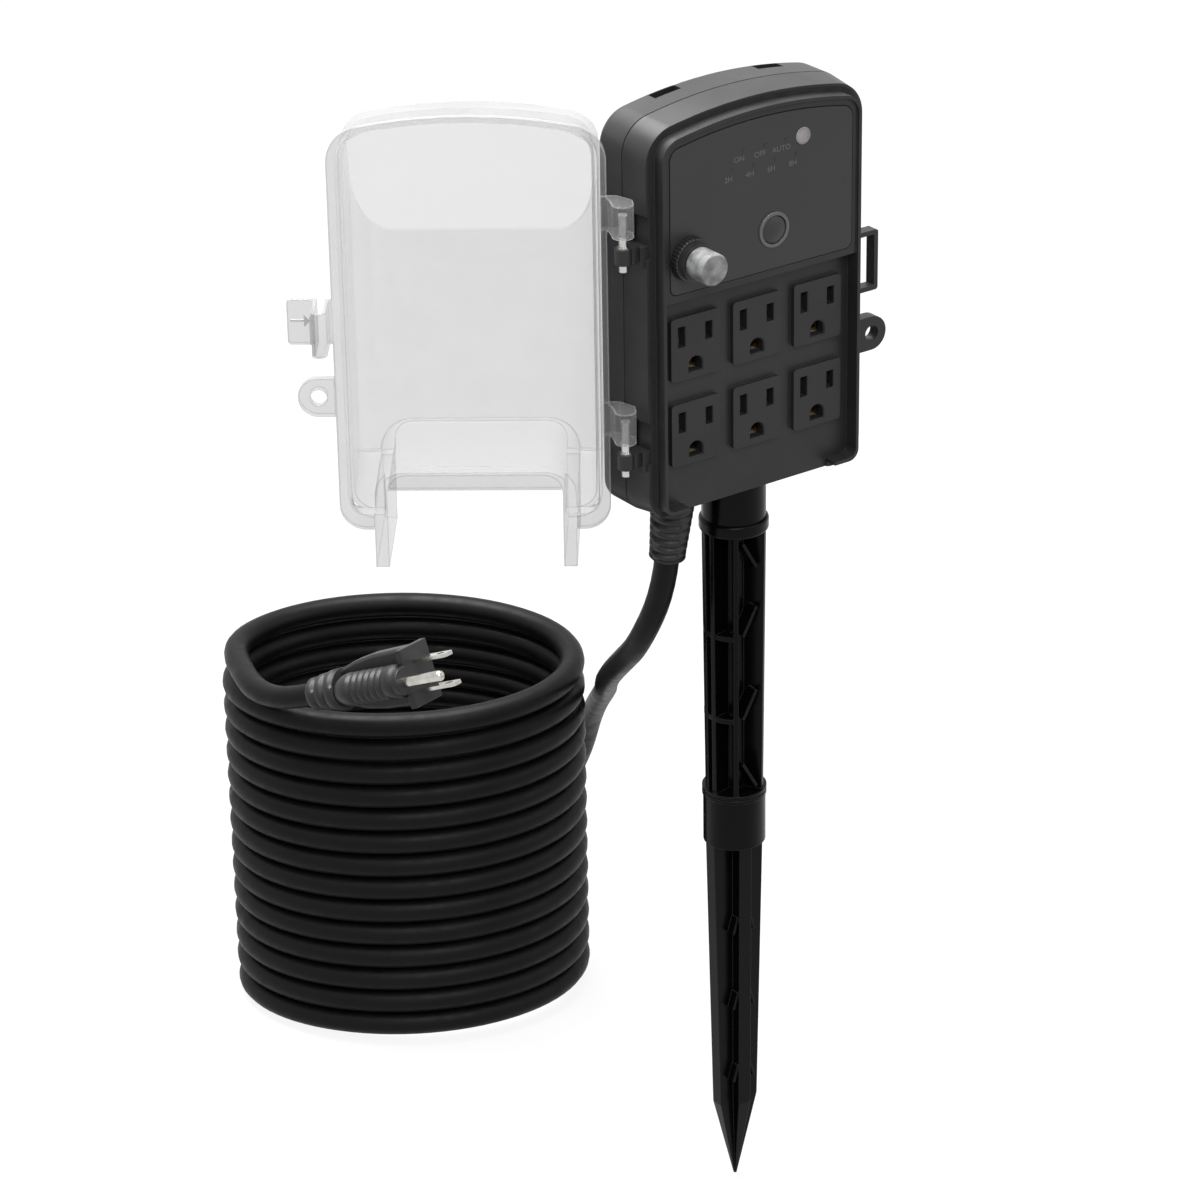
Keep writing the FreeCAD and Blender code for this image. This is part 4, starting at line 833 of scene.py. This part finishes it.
@dataclass
class Studio:
    """A pale floor, a white room and soft lamps."""

    floor_half: float = 4.0
    room_level: float = 0.16  # Strength of the room's own light on the object
    floor_shade: float = 0.14  # Grey that the floor bounces onto the object
    floor_glow: float = 0.9  # Part of the floor's white that no shadow reaches
    cloud_mm: float = 300.0
    aim: Point = (-0.02, 0.08, 0.27)
    # Name, place, width in metres and power in watts
    lamps: tuple[tuple[str, Point, float, float], ...] = (
        ("front_softbox", (-0.9, -1.8, 2.3), 1.4, 36.0),
        ("right_softbox", (1.5, -1.9, 1.5), 1.2, 8.0),
        ("top_softbox", (-0.1, 0.5, 2.1), 1.5, 115.0),
    )

    def white_sight(self, tree: Tree) -> Socket:
        """Say where the room is seen as plain white: straight, mirrored or through plastic.

        Args:
            tree: The node tree to work in.

        Returns:
            1 for a ray that should meet white.
        """
        light = add_node(tree, "ShaderNodeLightPath")
        found = light.outputs["Is Camera Ray"]
        for kind in ("Is Glossy Ray", "Is Transmission Ray"):
            found = add_node(
                tree, "ShaderNodeMath", {"operation": "MAXIMUM"}, {0: found, 1: light.outputs[kind]}
            ).outputs[0]
        return found

    def build_room(self) -> None:
        """Make the world white to the eye and softer as a light."""
        world = bpy.data.worlds.new("white_room")
        world.use_nodes = True
        tree = world.node_tree
        tree.nodes.clear()
        soft = add_node(
            tree, "ShaderNodeBackground", {"Color": srgb("#ffffff"), "Strength": self.room_level}
        )
        seen = add_node(tree, "ShaderNodeBackground", {"Color": srgb("#ffffff"), "Strength": 1.0})
        both = add_node(
            tree,
            "ShaderNodeMixShader",
            links={0: self.white_sight(tree), 1: soft.outputs[0], 2: seen.outputs[0]},
        )
        add_node(tree, "ShaderNodeOutputWorld", links={"Surface": both.outputs[0]})
        bpy.context.scene.world = world

    def build_floor(self) -> None:
        """Lay a white floor that keeps a trace of the object's shadow."""
        shape = bmesh.new()
        half = self.floor_half
        signs = ((-1, -1), (1, -1), (1, 1), (-1, 1))
        shape.faces.new([shape.verts.new((x * half, y * half, 0)) for x, y in signs])
        mesh = bpy.data.meshes.new("studio_floor")
        shape.to_mesh(mesh)
        shape.free()
        floor = new_object("studio_floor", mesh)
        material = bpy.data.materials.new("studio_paper")
        material.use_nodes = True
        tree = material.node_tree
        tree.nodes.clear()
        clouds = spread(tree, speckle(tree, self.cloud_mm), 0.0, 1.0)
        tone = blend_colours(tree, clouds, "#e9e9e8", "#efefee")
        sight = self.white_sight(tree)
        seen = add_node(
            tree,
            "ShaderNodeMix",
            {"data_type": "RGBA", 6: (self.floor_shade, self.floor_shade, self.floor_shade, 1.0)},
            {0: sight, 7: tone},
        )
        paper = add_node(tree, "ShaderNodeBsdfDiffuse", links={"Color": seen.outputs[2]})
        glow = add_node(tree, "ShaderNodeEmission", {"Color": srgb("#ffffff"), "Strength": 1.0})
        share = add_node(
            tree, "ShaderNodeMath", {"operation": "MULTIPLY", 1: self.floor_glow}, {0: sight}
        )
        both = add_node(
            tree,
            "ShaderNodeMixShader",
            links={0: share.outputs[0], 1: paper.outputs[0], 2: glow.outputs[0]},
        )
        add_node(tree, "ShaderNodeOutputMaterial", links={"Surface": both.outputs[0]})
        mesh.materials.append(material)

    def build_lamps(self) -> None:
        """Hang the soft lamps round the object."""
        for name, place, size, power in self.lamps:
            data = bpy.data.lights.new(name, "AREA")
            data.shape = "SQUARE"
            data.size = size
            data.energy = power
            lamp = new_object(name, data)
            lamp.location = place
            way = Vector(self.aim) - Vector(place)
            lamp.rotation_euler = way.to_track_quat("-Z", "Y").to_euler()

    def build(self) -> None:
        """Build the room, the floor and the lamps."""
        bpy.context.scene.view_settings.view_transform = "Standard"
        self.build_room()
        self.build_floor()
        self.build_lamps()
        log.info("built the studio")


@dataclass
class SupplyCord:
    """The supply cord: a hanging stretch, a coil of turns and a short tail to the plug.

    Lengths are in millimetres and angles in degrees.
    """

    radius: float = 4.9
    relief_foot: Point = (-30.0, -1.0, 314.4)
    relief_lean: float = 9.0
    relief_length: float = 25.0
    first_run: float = 17.0
    last_run: float = 30.0
    lead: tuple[Point, ...] = (
        (-32.7, 18.6, 246.3),
        (-24.4, 41.2, 228.0),
        (-6.0, 75.2, 203.9),
        (15.4, 109.3, 179.6),
        (51.7, 159.8, 146.4),
        (79.2, 209.3, 108.7),
        (92.1, 237.0, 71.6),
        (94.4, 259.2, 40.5),
        (75.9, 284.1, 16.8),
        (40.9, 297.3, 7.9),
    )
    coil_centre: tuple[float, float] = (-17.8, 214.3)
    coil_radii: tuple[float, float] = (73.5, 54.0)
    coil_bearing: float = -35.3
    coil_pitch: float = 11.2
    coil_turns: int = 14
    coil_start: float = 150.0
    coil_extra: float = 47.0  # How far the coil goes on after its whole turns
    coil_foot: float = 5.4
    coil_swell: float = 1.09  # Thickens the cord there, so that its turns nearly touch
    points_per_turn: int = 16
    tail_run: float = 13.0
    tail_turns: int = 3
    plug_heading: float = -66.0
    plug_pitch: float = 22.0
    plug_roll: float = -6.0
    length_m: float = 6.3

    def coil_point(self, angle: float, swell: float = 1.0) -> Vector:
        """Point of the coil's centreline.

        Args:
            angle: Degrees round the coil.
            swell: Factor on its two radii.

        Returns:
            The point in millimetres.
        """
        bearing = math.radians(self.coil_bearing)
        along = Vector((math.cos(bearing), math.sin(bearing), 0))
        across = Vector((-math.sin(bearing), math.cos(bearing), 0))
        turn = math.radians(angle)
        height = self.coil_foot + self.coil_pitch * (angle - self.coil_start) / 360
        wide, narrow = self.coil_radii
        flat = along * (wide * math.cos(turn)) + across * (narrow * math.sin(turn))
        return Vector((*self.coil_centre, height)) + flat * swell

    def coil_way(self, angle: float) -> Vector:
        """Direction of the coil's centreline at an angle in degrees."""
        return (self.coil_point(angle + 0.5) - self.coil_point(angle - 0.5)).normalized()

    def exit_point(self) -> tuple[Vector, Vector]:
        """End of the boot and the way that the cord leaves it, in millimetres."""
        lean = math.radians(self.relief_lean)
        way = Vector((0, math.sin(lean), -math.cos(lean)))
        return Vector(self.relief_foot) + way * self.relief_length, way

    def tail(self) -> list[Vector]:
        """Lead the cord from the coil's end to the plug.

        Returns:
            The tail's points, in millimetres.
        """
        last = self.coil_start + self.coil_turns * 360 + self.coil_extra
        way = self.coil_way(last)
        points = [self.coil_point(last) + way * (2 * self.radius)]
        points.append(points[0] + way * self.tail_run)
        first = math.degrees(math.atan2(way.y, way.x))
        for i in range(1, self.tail_turns + 1):
            share = i / self.tail_turns
            heading = math.radians(first + (self.plug_heading - first) * share)
            pitch = math.radians(self.plug_pitch * share)
            level = math.cos(pitch)
            step = Vector((math.cos(heading) * level, math.sin(heading) * level, math.sin(pitch)))
            points.append(points[-1] + step * self.tail_run)
        return points

    def route(self) -> list[Vector]:
        """Put the cord's control points in order, from the boot to the plug.

        Returns:
            The points, in millimetres.
        """
        origin, way = self.exit_point()
        level = self.coil_way(self.coil_start)
        level.z = 0
        level.normalize()
        start = self.coil_point(self.coil_start) - level * (2 * self.radius)
        points = [origin, origin + way * self.first_run]
        points += [Vector(p) for p in self.lead]
        points += [start - level * self.last_run, start]
        step = 360 / self.points_per_turn
        # The spline cuts inside its corners, so the coil's points stand outside its line
        swell = 8 / (6 + 2 * math.cos(math.radians(step)))
        total = self.coil_turns * 360 + self.coil_extra
        count = round(total / step)
        for i in range(1, count):
            points.append(self.coil_point(self.coil_start + total * i / count, swell))
        return points + self.tail()

    def plug_place(self) -> Matrix:
        """Stand the plug on the tail's end.

        Returns:
            Its own axes, X forward and Z along its two blades.
        """
        turn = Matrix.Rotation(math.radians(self.plug_heading), 4, "Z")
        tilt = Matrix.Rotation(math.radians(-self.plug_pitch), 4, "Y")
        roll = Matrix.Rotation(math.radians(self.plug_roll), 4, "X")
        return Matrix.Translation(self.tail()[-1] * MM) @ turn @ tilt @ roll

    def build(self, with_pieces: Iterable[bpy.types.Object]) -> bpy.types.Object:
        """Args:
            with_pieces: The plug's pieces on its far end; not used.

        Returns:
            The cord.
        """
        curve = bpy.data.curves.new("supply_cord", "CURVE")
        curve.dimensions = "3D"
        curve.bevel_depth = self.radius * MM
        curve.bevel_resolution = 6
        curve.resolution_u = 5
        spline = curve.splines.new("NURBS")
        points = self.route()
        spline.points.add(len(points) - 1)
        before = len(self.lead) + 4
        after = len(points) - self.tail_turns
        for number, (spot, point) in enumerate(zip(spline.points, points)):
            in_coil = before < number < after
            spot.co = (*(point * MM), 1.0)
            spot.radius = self.coil_swell if in_coil else 1.0
        spline.order_u = 3
        spline.use_endpoint_u = True
        cord = new_object("supply_cord", curve)
        curve.materials.append(BLACK_PVC.material)
        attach(cord, Body.HOUSING.value)
        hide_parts("cord_lead", "cord_coil", "cord_tail")
        log.info("laid the cord over %d points", len(points))
        return cord


@dataclass
class CordPlug:
    """Grounded two-blade plug: sleeve, tall web, ribbed barrel and flange.

    Lengths are in millimetres, X runs forward and Z along the two blades.
    """

    place: Matrix
    sleeve: float = 17.0
    sleeve_rings: int = 3
    sleeve_radius: float = 6.9
    sleeve_growth: float = 0.9  # What each next ring's radius adds
    sleeve_end: float = 8.6
    flare: float = 8.0
    grip: float = 27.0
    flange: float = 3.0
    blade_y: float = 4.0
    ground_y: float = -7.9
    barrel_nose: tuple[tuple[float, float], ...] = ((0.0, 5.2), (3.0, 6.6), (6.0, 7.2))
    barrel_radius: float = 7.2
    barrel_shift: float = 2.8  # From the ground pin's line
    finger_radius: float = 6.3
    finger_pitch: float = 3.3
    # Half height and thickness of the web at its four stations
    web_sizes: tuple[tuple[float, float], ...] = ((8.2, 8.0), (10.6, 8.2), (12.0, 8.0), (12.5, 8.0))
    web_chamfer: float = 1.2
    flange_low: float = -5.5
    flange_high: float = 13.5
    flange_half: float = 12.7
    lobe: float = 5.8

    @property
    def face(self) -> float:
        """Place of the flange's rear face along the plug."""
        return self.sleeve + self.flare + self.grip

    def sleeve_mesh(self) -> bpy.types.Mesh:
        """Shape the ribbed sleeve, whose grooves are broken by bridges, turn about.

        Returns:
            The mesh.
        """
        rows = []
        groove_rows = {}
        pitch = self.sleeve / self.sleeve_rings
        for ring in range(self.sleeve_rings):
            radius = self.sleeve_radius + self.sleeve_growth * ring
            x = ring * pitch
            rows += [(x, radius - 0.4), (x + 0.5, radius), (x + pitch * 0.62, radius + 0.3)]
            for share in (0.68, 0.9):
                groove_rows[len(rows)] = ring
                rows.append((x + pitch * share, radius))
            rows.append((x + pitch * 0.97, radius + 0.4))
        rows.append((self.sleeve, self.sleeve_end))

        def wobble(number: int, angle: float) -> float:
            """Cut the grooves, which spare two bridges each.

            Args:
                number: Row of the sleeve.
                angle: Angle round it.

            Returns:
                The change of radius, in millimetres.
            """
            if number not in groove_rows:
                return 0.0
            turned = angle + (math.pi / 2 if groove_rows[number] % 2 else 0.0)
            return groove_depth(abs(math.sin(turned)), deepest=1.5, bridge=0.3, steepness=6)

        return lathe(rows, self.place, steps=64, wobble=wobble)

    def barrel_mesh(self) -> bpy.types.Mesh:
        """Shape the round barrel behind the ground pin, with its finger grooves.

        Returns:
            The mesh.
        """
        start = self.sleeve + 2.0
        end = self.face
        outer = self.barrel_radius
        inner = self.finger_radius
        rows = [(start + along, radius) for along, radius in self.barrel_nose]
        x = start + 8.0
        while x < end - 7.0:
            rows += [(x, outer), (x + 0.5, inner), (x + 1.5, inner), (x + 2.0, outer)]
            x += self.finger_pitch
        rows += [(end - 4.0, outer), (end, outer)]
        shift = Matrix.Translation(Vector((0, self.ground_y + self.barrel_shift, 0)) * MM)
        return lathe(rows, self.place @ shift, steps=56)

    def web_mesh(self) -> bpy.types.Mesh:
        """Shape the tall tapering plate behind the blades, from the sleeve to the flange.

        Returns:
            The mesh.
        """
        start = self.sleeve

        def outline(half: float, thick: float) -> list[tuple[float, float]]:
            """Draw a flat bar across the plug with chamfered corners.

            Args:
                half: Half its height.
                thick: Its thickness.

            Returns:
                Its corners.
            """
            y0 = self.blade_y - thick / 2
            y1 = self.blade_y + thick / 2
            bevel = self.web_chamfer
            return [
                (y0, -half + bevel), (y0 + bevel, -half), (y1 - bevel, -half), (y1, -half + bevel),
                (y1, half - bevel), (y1 - bevel, half), (y0 + bevel, half), (y0, half - bevel),
            ]

        stations = (start - 0.5, start + self.flare, start + self.flare + 10.0, self.face)
        sections = [(x, outline(*size)) for x, size in zip(stations, self.web_sizes)]
        return prism(sections, self.place)

    def flange_mesh(self) -> bpy.types.Mesh:
        """Shape the front plate: a tall bar at the blades and a round lobe at the ground pin.

        Returns:
            The mesh.
        """
        low, high, half, lobe = self.flange_low, self.flange_high, self.flange_half, self.lobe
        steps = 16
        outline = [(high, -half), (high, half), (low, half), (low, lobe)]
        for i in range(steps + 1):
            angle = math.pi / 2 + math.pi * i / steps
            outline.append((self.ground_y + lobe * math.cos(angle), lobe * math.sin(angle)))
        outline += [(low, -lobe), (low, -half)]
        return prism([(self.face, outline), (self.face + self.flange, outline)], self.place)

    def build(self) -> list[bpy.types.Object]:
        """Build the plug's pieces.

        Returns:
            Every piece on the cord's far end, the metal nodes among them.
        """
        made = []
        for name, mesh, edge in (
            ("plug_sleeve", self.sleeve_mesh(), 0.0),
            ("plug_barrel", self.barrel_mesh(), 0.0),
            ("plug_web", self.web_mesh(), 0.5),
            ("plug_flange", self.flange_mesh(), 0.5),
        ):
            piece = new_piece(name, mesh, PLUG_PVC, Body.HOUSING, smooth=edge == 0.0)
            if edge:
                soften_edges(piece, edge)
            made.append(piece)
        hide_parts("plug_relief")
        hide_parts("plug_body")
        metal = ("plug_blade_upper", "plug_blade_lower", "plug_ground_pin")
        return made + [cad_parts[name] for name in metal]


@dataclass
class CordBoot:
    """Strain relief under the box: a stack of ribs broken by bridges, leaning back."""

    cord: SupplyCord
    ribs: int = 7
    top_radius: float = 8.5
    low_radius: float = 7.2
    collar: float = 1.6  # Length of its plain top

    def build(self) -> None:
        """Build the boot in place of its plain solid."""
        way = self.cord.exit_point()[1]
        length = self.cord.relief_length
        turn = Vector((1, 0, 0)).rotation_difference(way).to_matrix().to_4x4()
        place = Matrix.Translation(Vector(self.cord.relief_foot) * MM) @ turn
        pitch = (length - self.collar) / self.ribs
        rows = [(0.2, self.top_radius - 0.3)]
        grooves = {}
        for rib in range(self.ribs):
            radius = self.top_radius + (self.low_radius - self.top_radius) * rib / (self.ribs - 1)
            x = self.collar + rib * pitch
            rows += [(x, radius), (x + pitch * 0.45, radius)]
            for share in (0.55, 0.9):
                grooves[len(rows)] = rib
                rows.append((x + pitch * share, radius - 0.25))
        rows += [(length - 0.3, self.low_radius), (length, self.low_radius - 0.4)]

        def wobble(number: int, angle: float) -> float:
            """Cut the grooves, broken by two bridges that change side rib by rib.

            Args:
                number: Row of the boot.
                angle: Angle round it.

            Returns:
                The change of radius, in millimetres.
            """
            if number not in grooves:
                return 0.0
            turned = angle + (math.pi / 2 if grooves[number] % 2 else 0.0)
            return groove_depth(abs(math.cos(turned)), deepest=1.3, bridge=0.22, steepness=5)

        mesh = lathe(rows, place, steps=64, wobble=wobble)
        boot = new_piece("cord_boot", mesh, PLUG_PVC, Body.HOUSING)
        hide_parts("strain_relief")


@dataclass
class ControlLegends:
    """Printed words under the small lights of the control panel.

    Lengths are in millimetres.
    """

    face_y: float = -18.15  # Face of the film
    letter_mm: float = 3.1
    thickness_mm: float = 0.03
    words: tuple[tuple[str, float, float], ...] = (
        ("ON", -10.8, 452.9),
        ("OFF", -1.1, 452.9),
        ("AUTO", 8.9, 452.9),
        ("2H", -15.8, 446.0),
        ("4H", -5.8, 446.0),
        ("6H", 4.2, 446.0),
        ("8H", 14.3, 446.0),
    )

    def build(self) -> None:
        """Print each word as a thin layer of ink on the film."""
        for word, x, z in self.words:
            data = bpy.data.curves.new(f"legend_{word}", "FONT")
            data.body = word
            data.size = self.letter_mm * MM
            data.align_x = "CENTER"
            data.align_y = "CENTER"
            data.extrude = self.thickness_mm / 2 * MM
            holder = new_object(f"legend_source_{word}", data)
            bpy.context.view_layer.update()
            ready = holder.evaluated_get(bpy.context.evaluated_depsgraph_get())
            mesh = bpy.data.meshes.new_from_object(ready)
            stand = Matrix.Rotation(math.pi / 2, 4, "X")
            mesh.transform(Matrix.Translation(Vector((x, self.face_y, z)) * MM) @ stand)
            bpy.data.objects.remove(holder)
            new_piece(f"legend_{word}", mesh, GREY_INK, Body.HOUSING, smooth=False)


@dataclass
class LatchArrow:
    """Raised arrow on the latch's finger plate that shows which way it opens.

    Lengths are in millimetres, with the cover shut.
    """

    centre: Point = (63.5, -16.5, 395.2)
    length: float = 7.6
    width: float = 5.0
    stem: float = 0.35  # Half the width of its stem
    height: float = 0.3
    sunk: float = 0.05  # How far it reaches into the plate
    hinge_axis: tuple[float, float] = (-57.5, -8.95)
    open_deg: float = 217.0

    def build(self) -> None:
        """Build the arrow on the plate, with the cover swung open."""
        half = self.length / 2
        head = self.width / 2
        stem = self.stem
        outline = [
            (-half, -stem), (half - head, -stem), (half - head, -head), (half, 0.0),
            (half - head, head), (half - head, stem), (-half, stem),
        ]
        pivot = Vector((*self.hinge_axis, 0.0)) * MM
        swing = Matrix.Rotation(math.radians(-self.open_deg), 4, "Z")
        place = (
            Matrix.Translation(pivot)
            @ swing
            @ Matrix.Translation(Vector(self.centre) * MM - pivot)
            @ Matrix.Rotation(math.radians(90), 4, "Z")
        )
        mesh = prism([(-self.height, outline), (self.sunk, outline)], place)
        new_piece("latch_arrow", mesh, MATT_PC, Body.LATCH, smooth=False)


SOCKET_BOX = Assembly(
    {
        BLACK_ABS: ("front_housing", "rear_housing"),
        SEAL_RUBBER: ("housing_gasket", "cover_seal"),
        SCREW_STEEL: tuple(f"housing_screw_{i}" for i in range(1, 5)),
    }
)
CONTROL_PANEL = Assembly(
    {
        BLACK_FILM: ("control_panel", "button_cap"),
        GREY_ABS: ("button_ring",),
        WINDOW_PC: ("remote_lens",),
        TINTED_EPOXY: ("remote_receiver",),
        LIGHT_PIPE: tuple(f"indicator_{i}" for i in range(1, 8)),
    }
)
LIGHT_SENSOR = Assembly(
    {
        BLACK_KNURL: ("photocell_base", "photocell_nut"),
        FROSTED_PC: ("photocell_cap",),
        TINTED_EPOXY: ("photocell_sensor",),
    }
)
SWING_COVER = Assembly({CLEAR_PC: ("cover_shell", "cover_latch")})
HINGES = Assembly(
    {PIN_STEEL: ("hinge_pin_lower", "hinge_pin_upper", "hinge_washer_lower", "hinge_washer_upper")}
)
GROUND_STAKE = Assembly({BLACK_PP: ("stake_socket", "upper_stake", "lower_stake")})
BOX_INSIDE = Assembly(
    {
        CREAM_NYLON: (
            "contact_carrier", "cord_clamp", "terminal_block", "relay_left", "relay_upper",
            "tact_switch",
        ),
        BRASS: ("line_bus", "neutral_bus", "ground_bus"),
        GREEN_BOARD: ("control_board",),
        IRON: ("transformer",),
        CAN: ("capacitor",),
        BLACK_PVC: ("cord_inner", "line_core"),
        WHITE_CORE: ("neutral_core",),
        GREEN_CORE: ("ground_core",),
    }
)
PLUG_METAL = Assembly({NICKEL: ("plug_blade_upper", "plug_blade_lower", "plug_ground_pin")})
ASSEMBLIES = (
    SOCKET_BOX,
    CONTROL_PANEL,
    LIGHT_SENSOR,
    SWING_COVER,
    HINGES,
    GROUND_STAKE,
    BOX_INSIDE,
    PLUG_METAL,
)


def main() -> None:
    """Build the camera, the cord, the box's own pieces, its finishes and the studio."""
    PhotoCamera().build()
    cord = SupplyCord()
    plug = CordPlug(cord.plug_place()).build()
    cord.build(plug)
    CordBoot(cord).build()
    ControlLegends().build()
    LatchArrow().build()
    for assembly in ASSEMBLIES:
        assembly.build()
    Studio().build()


if __name__ == "__main__":
    main()
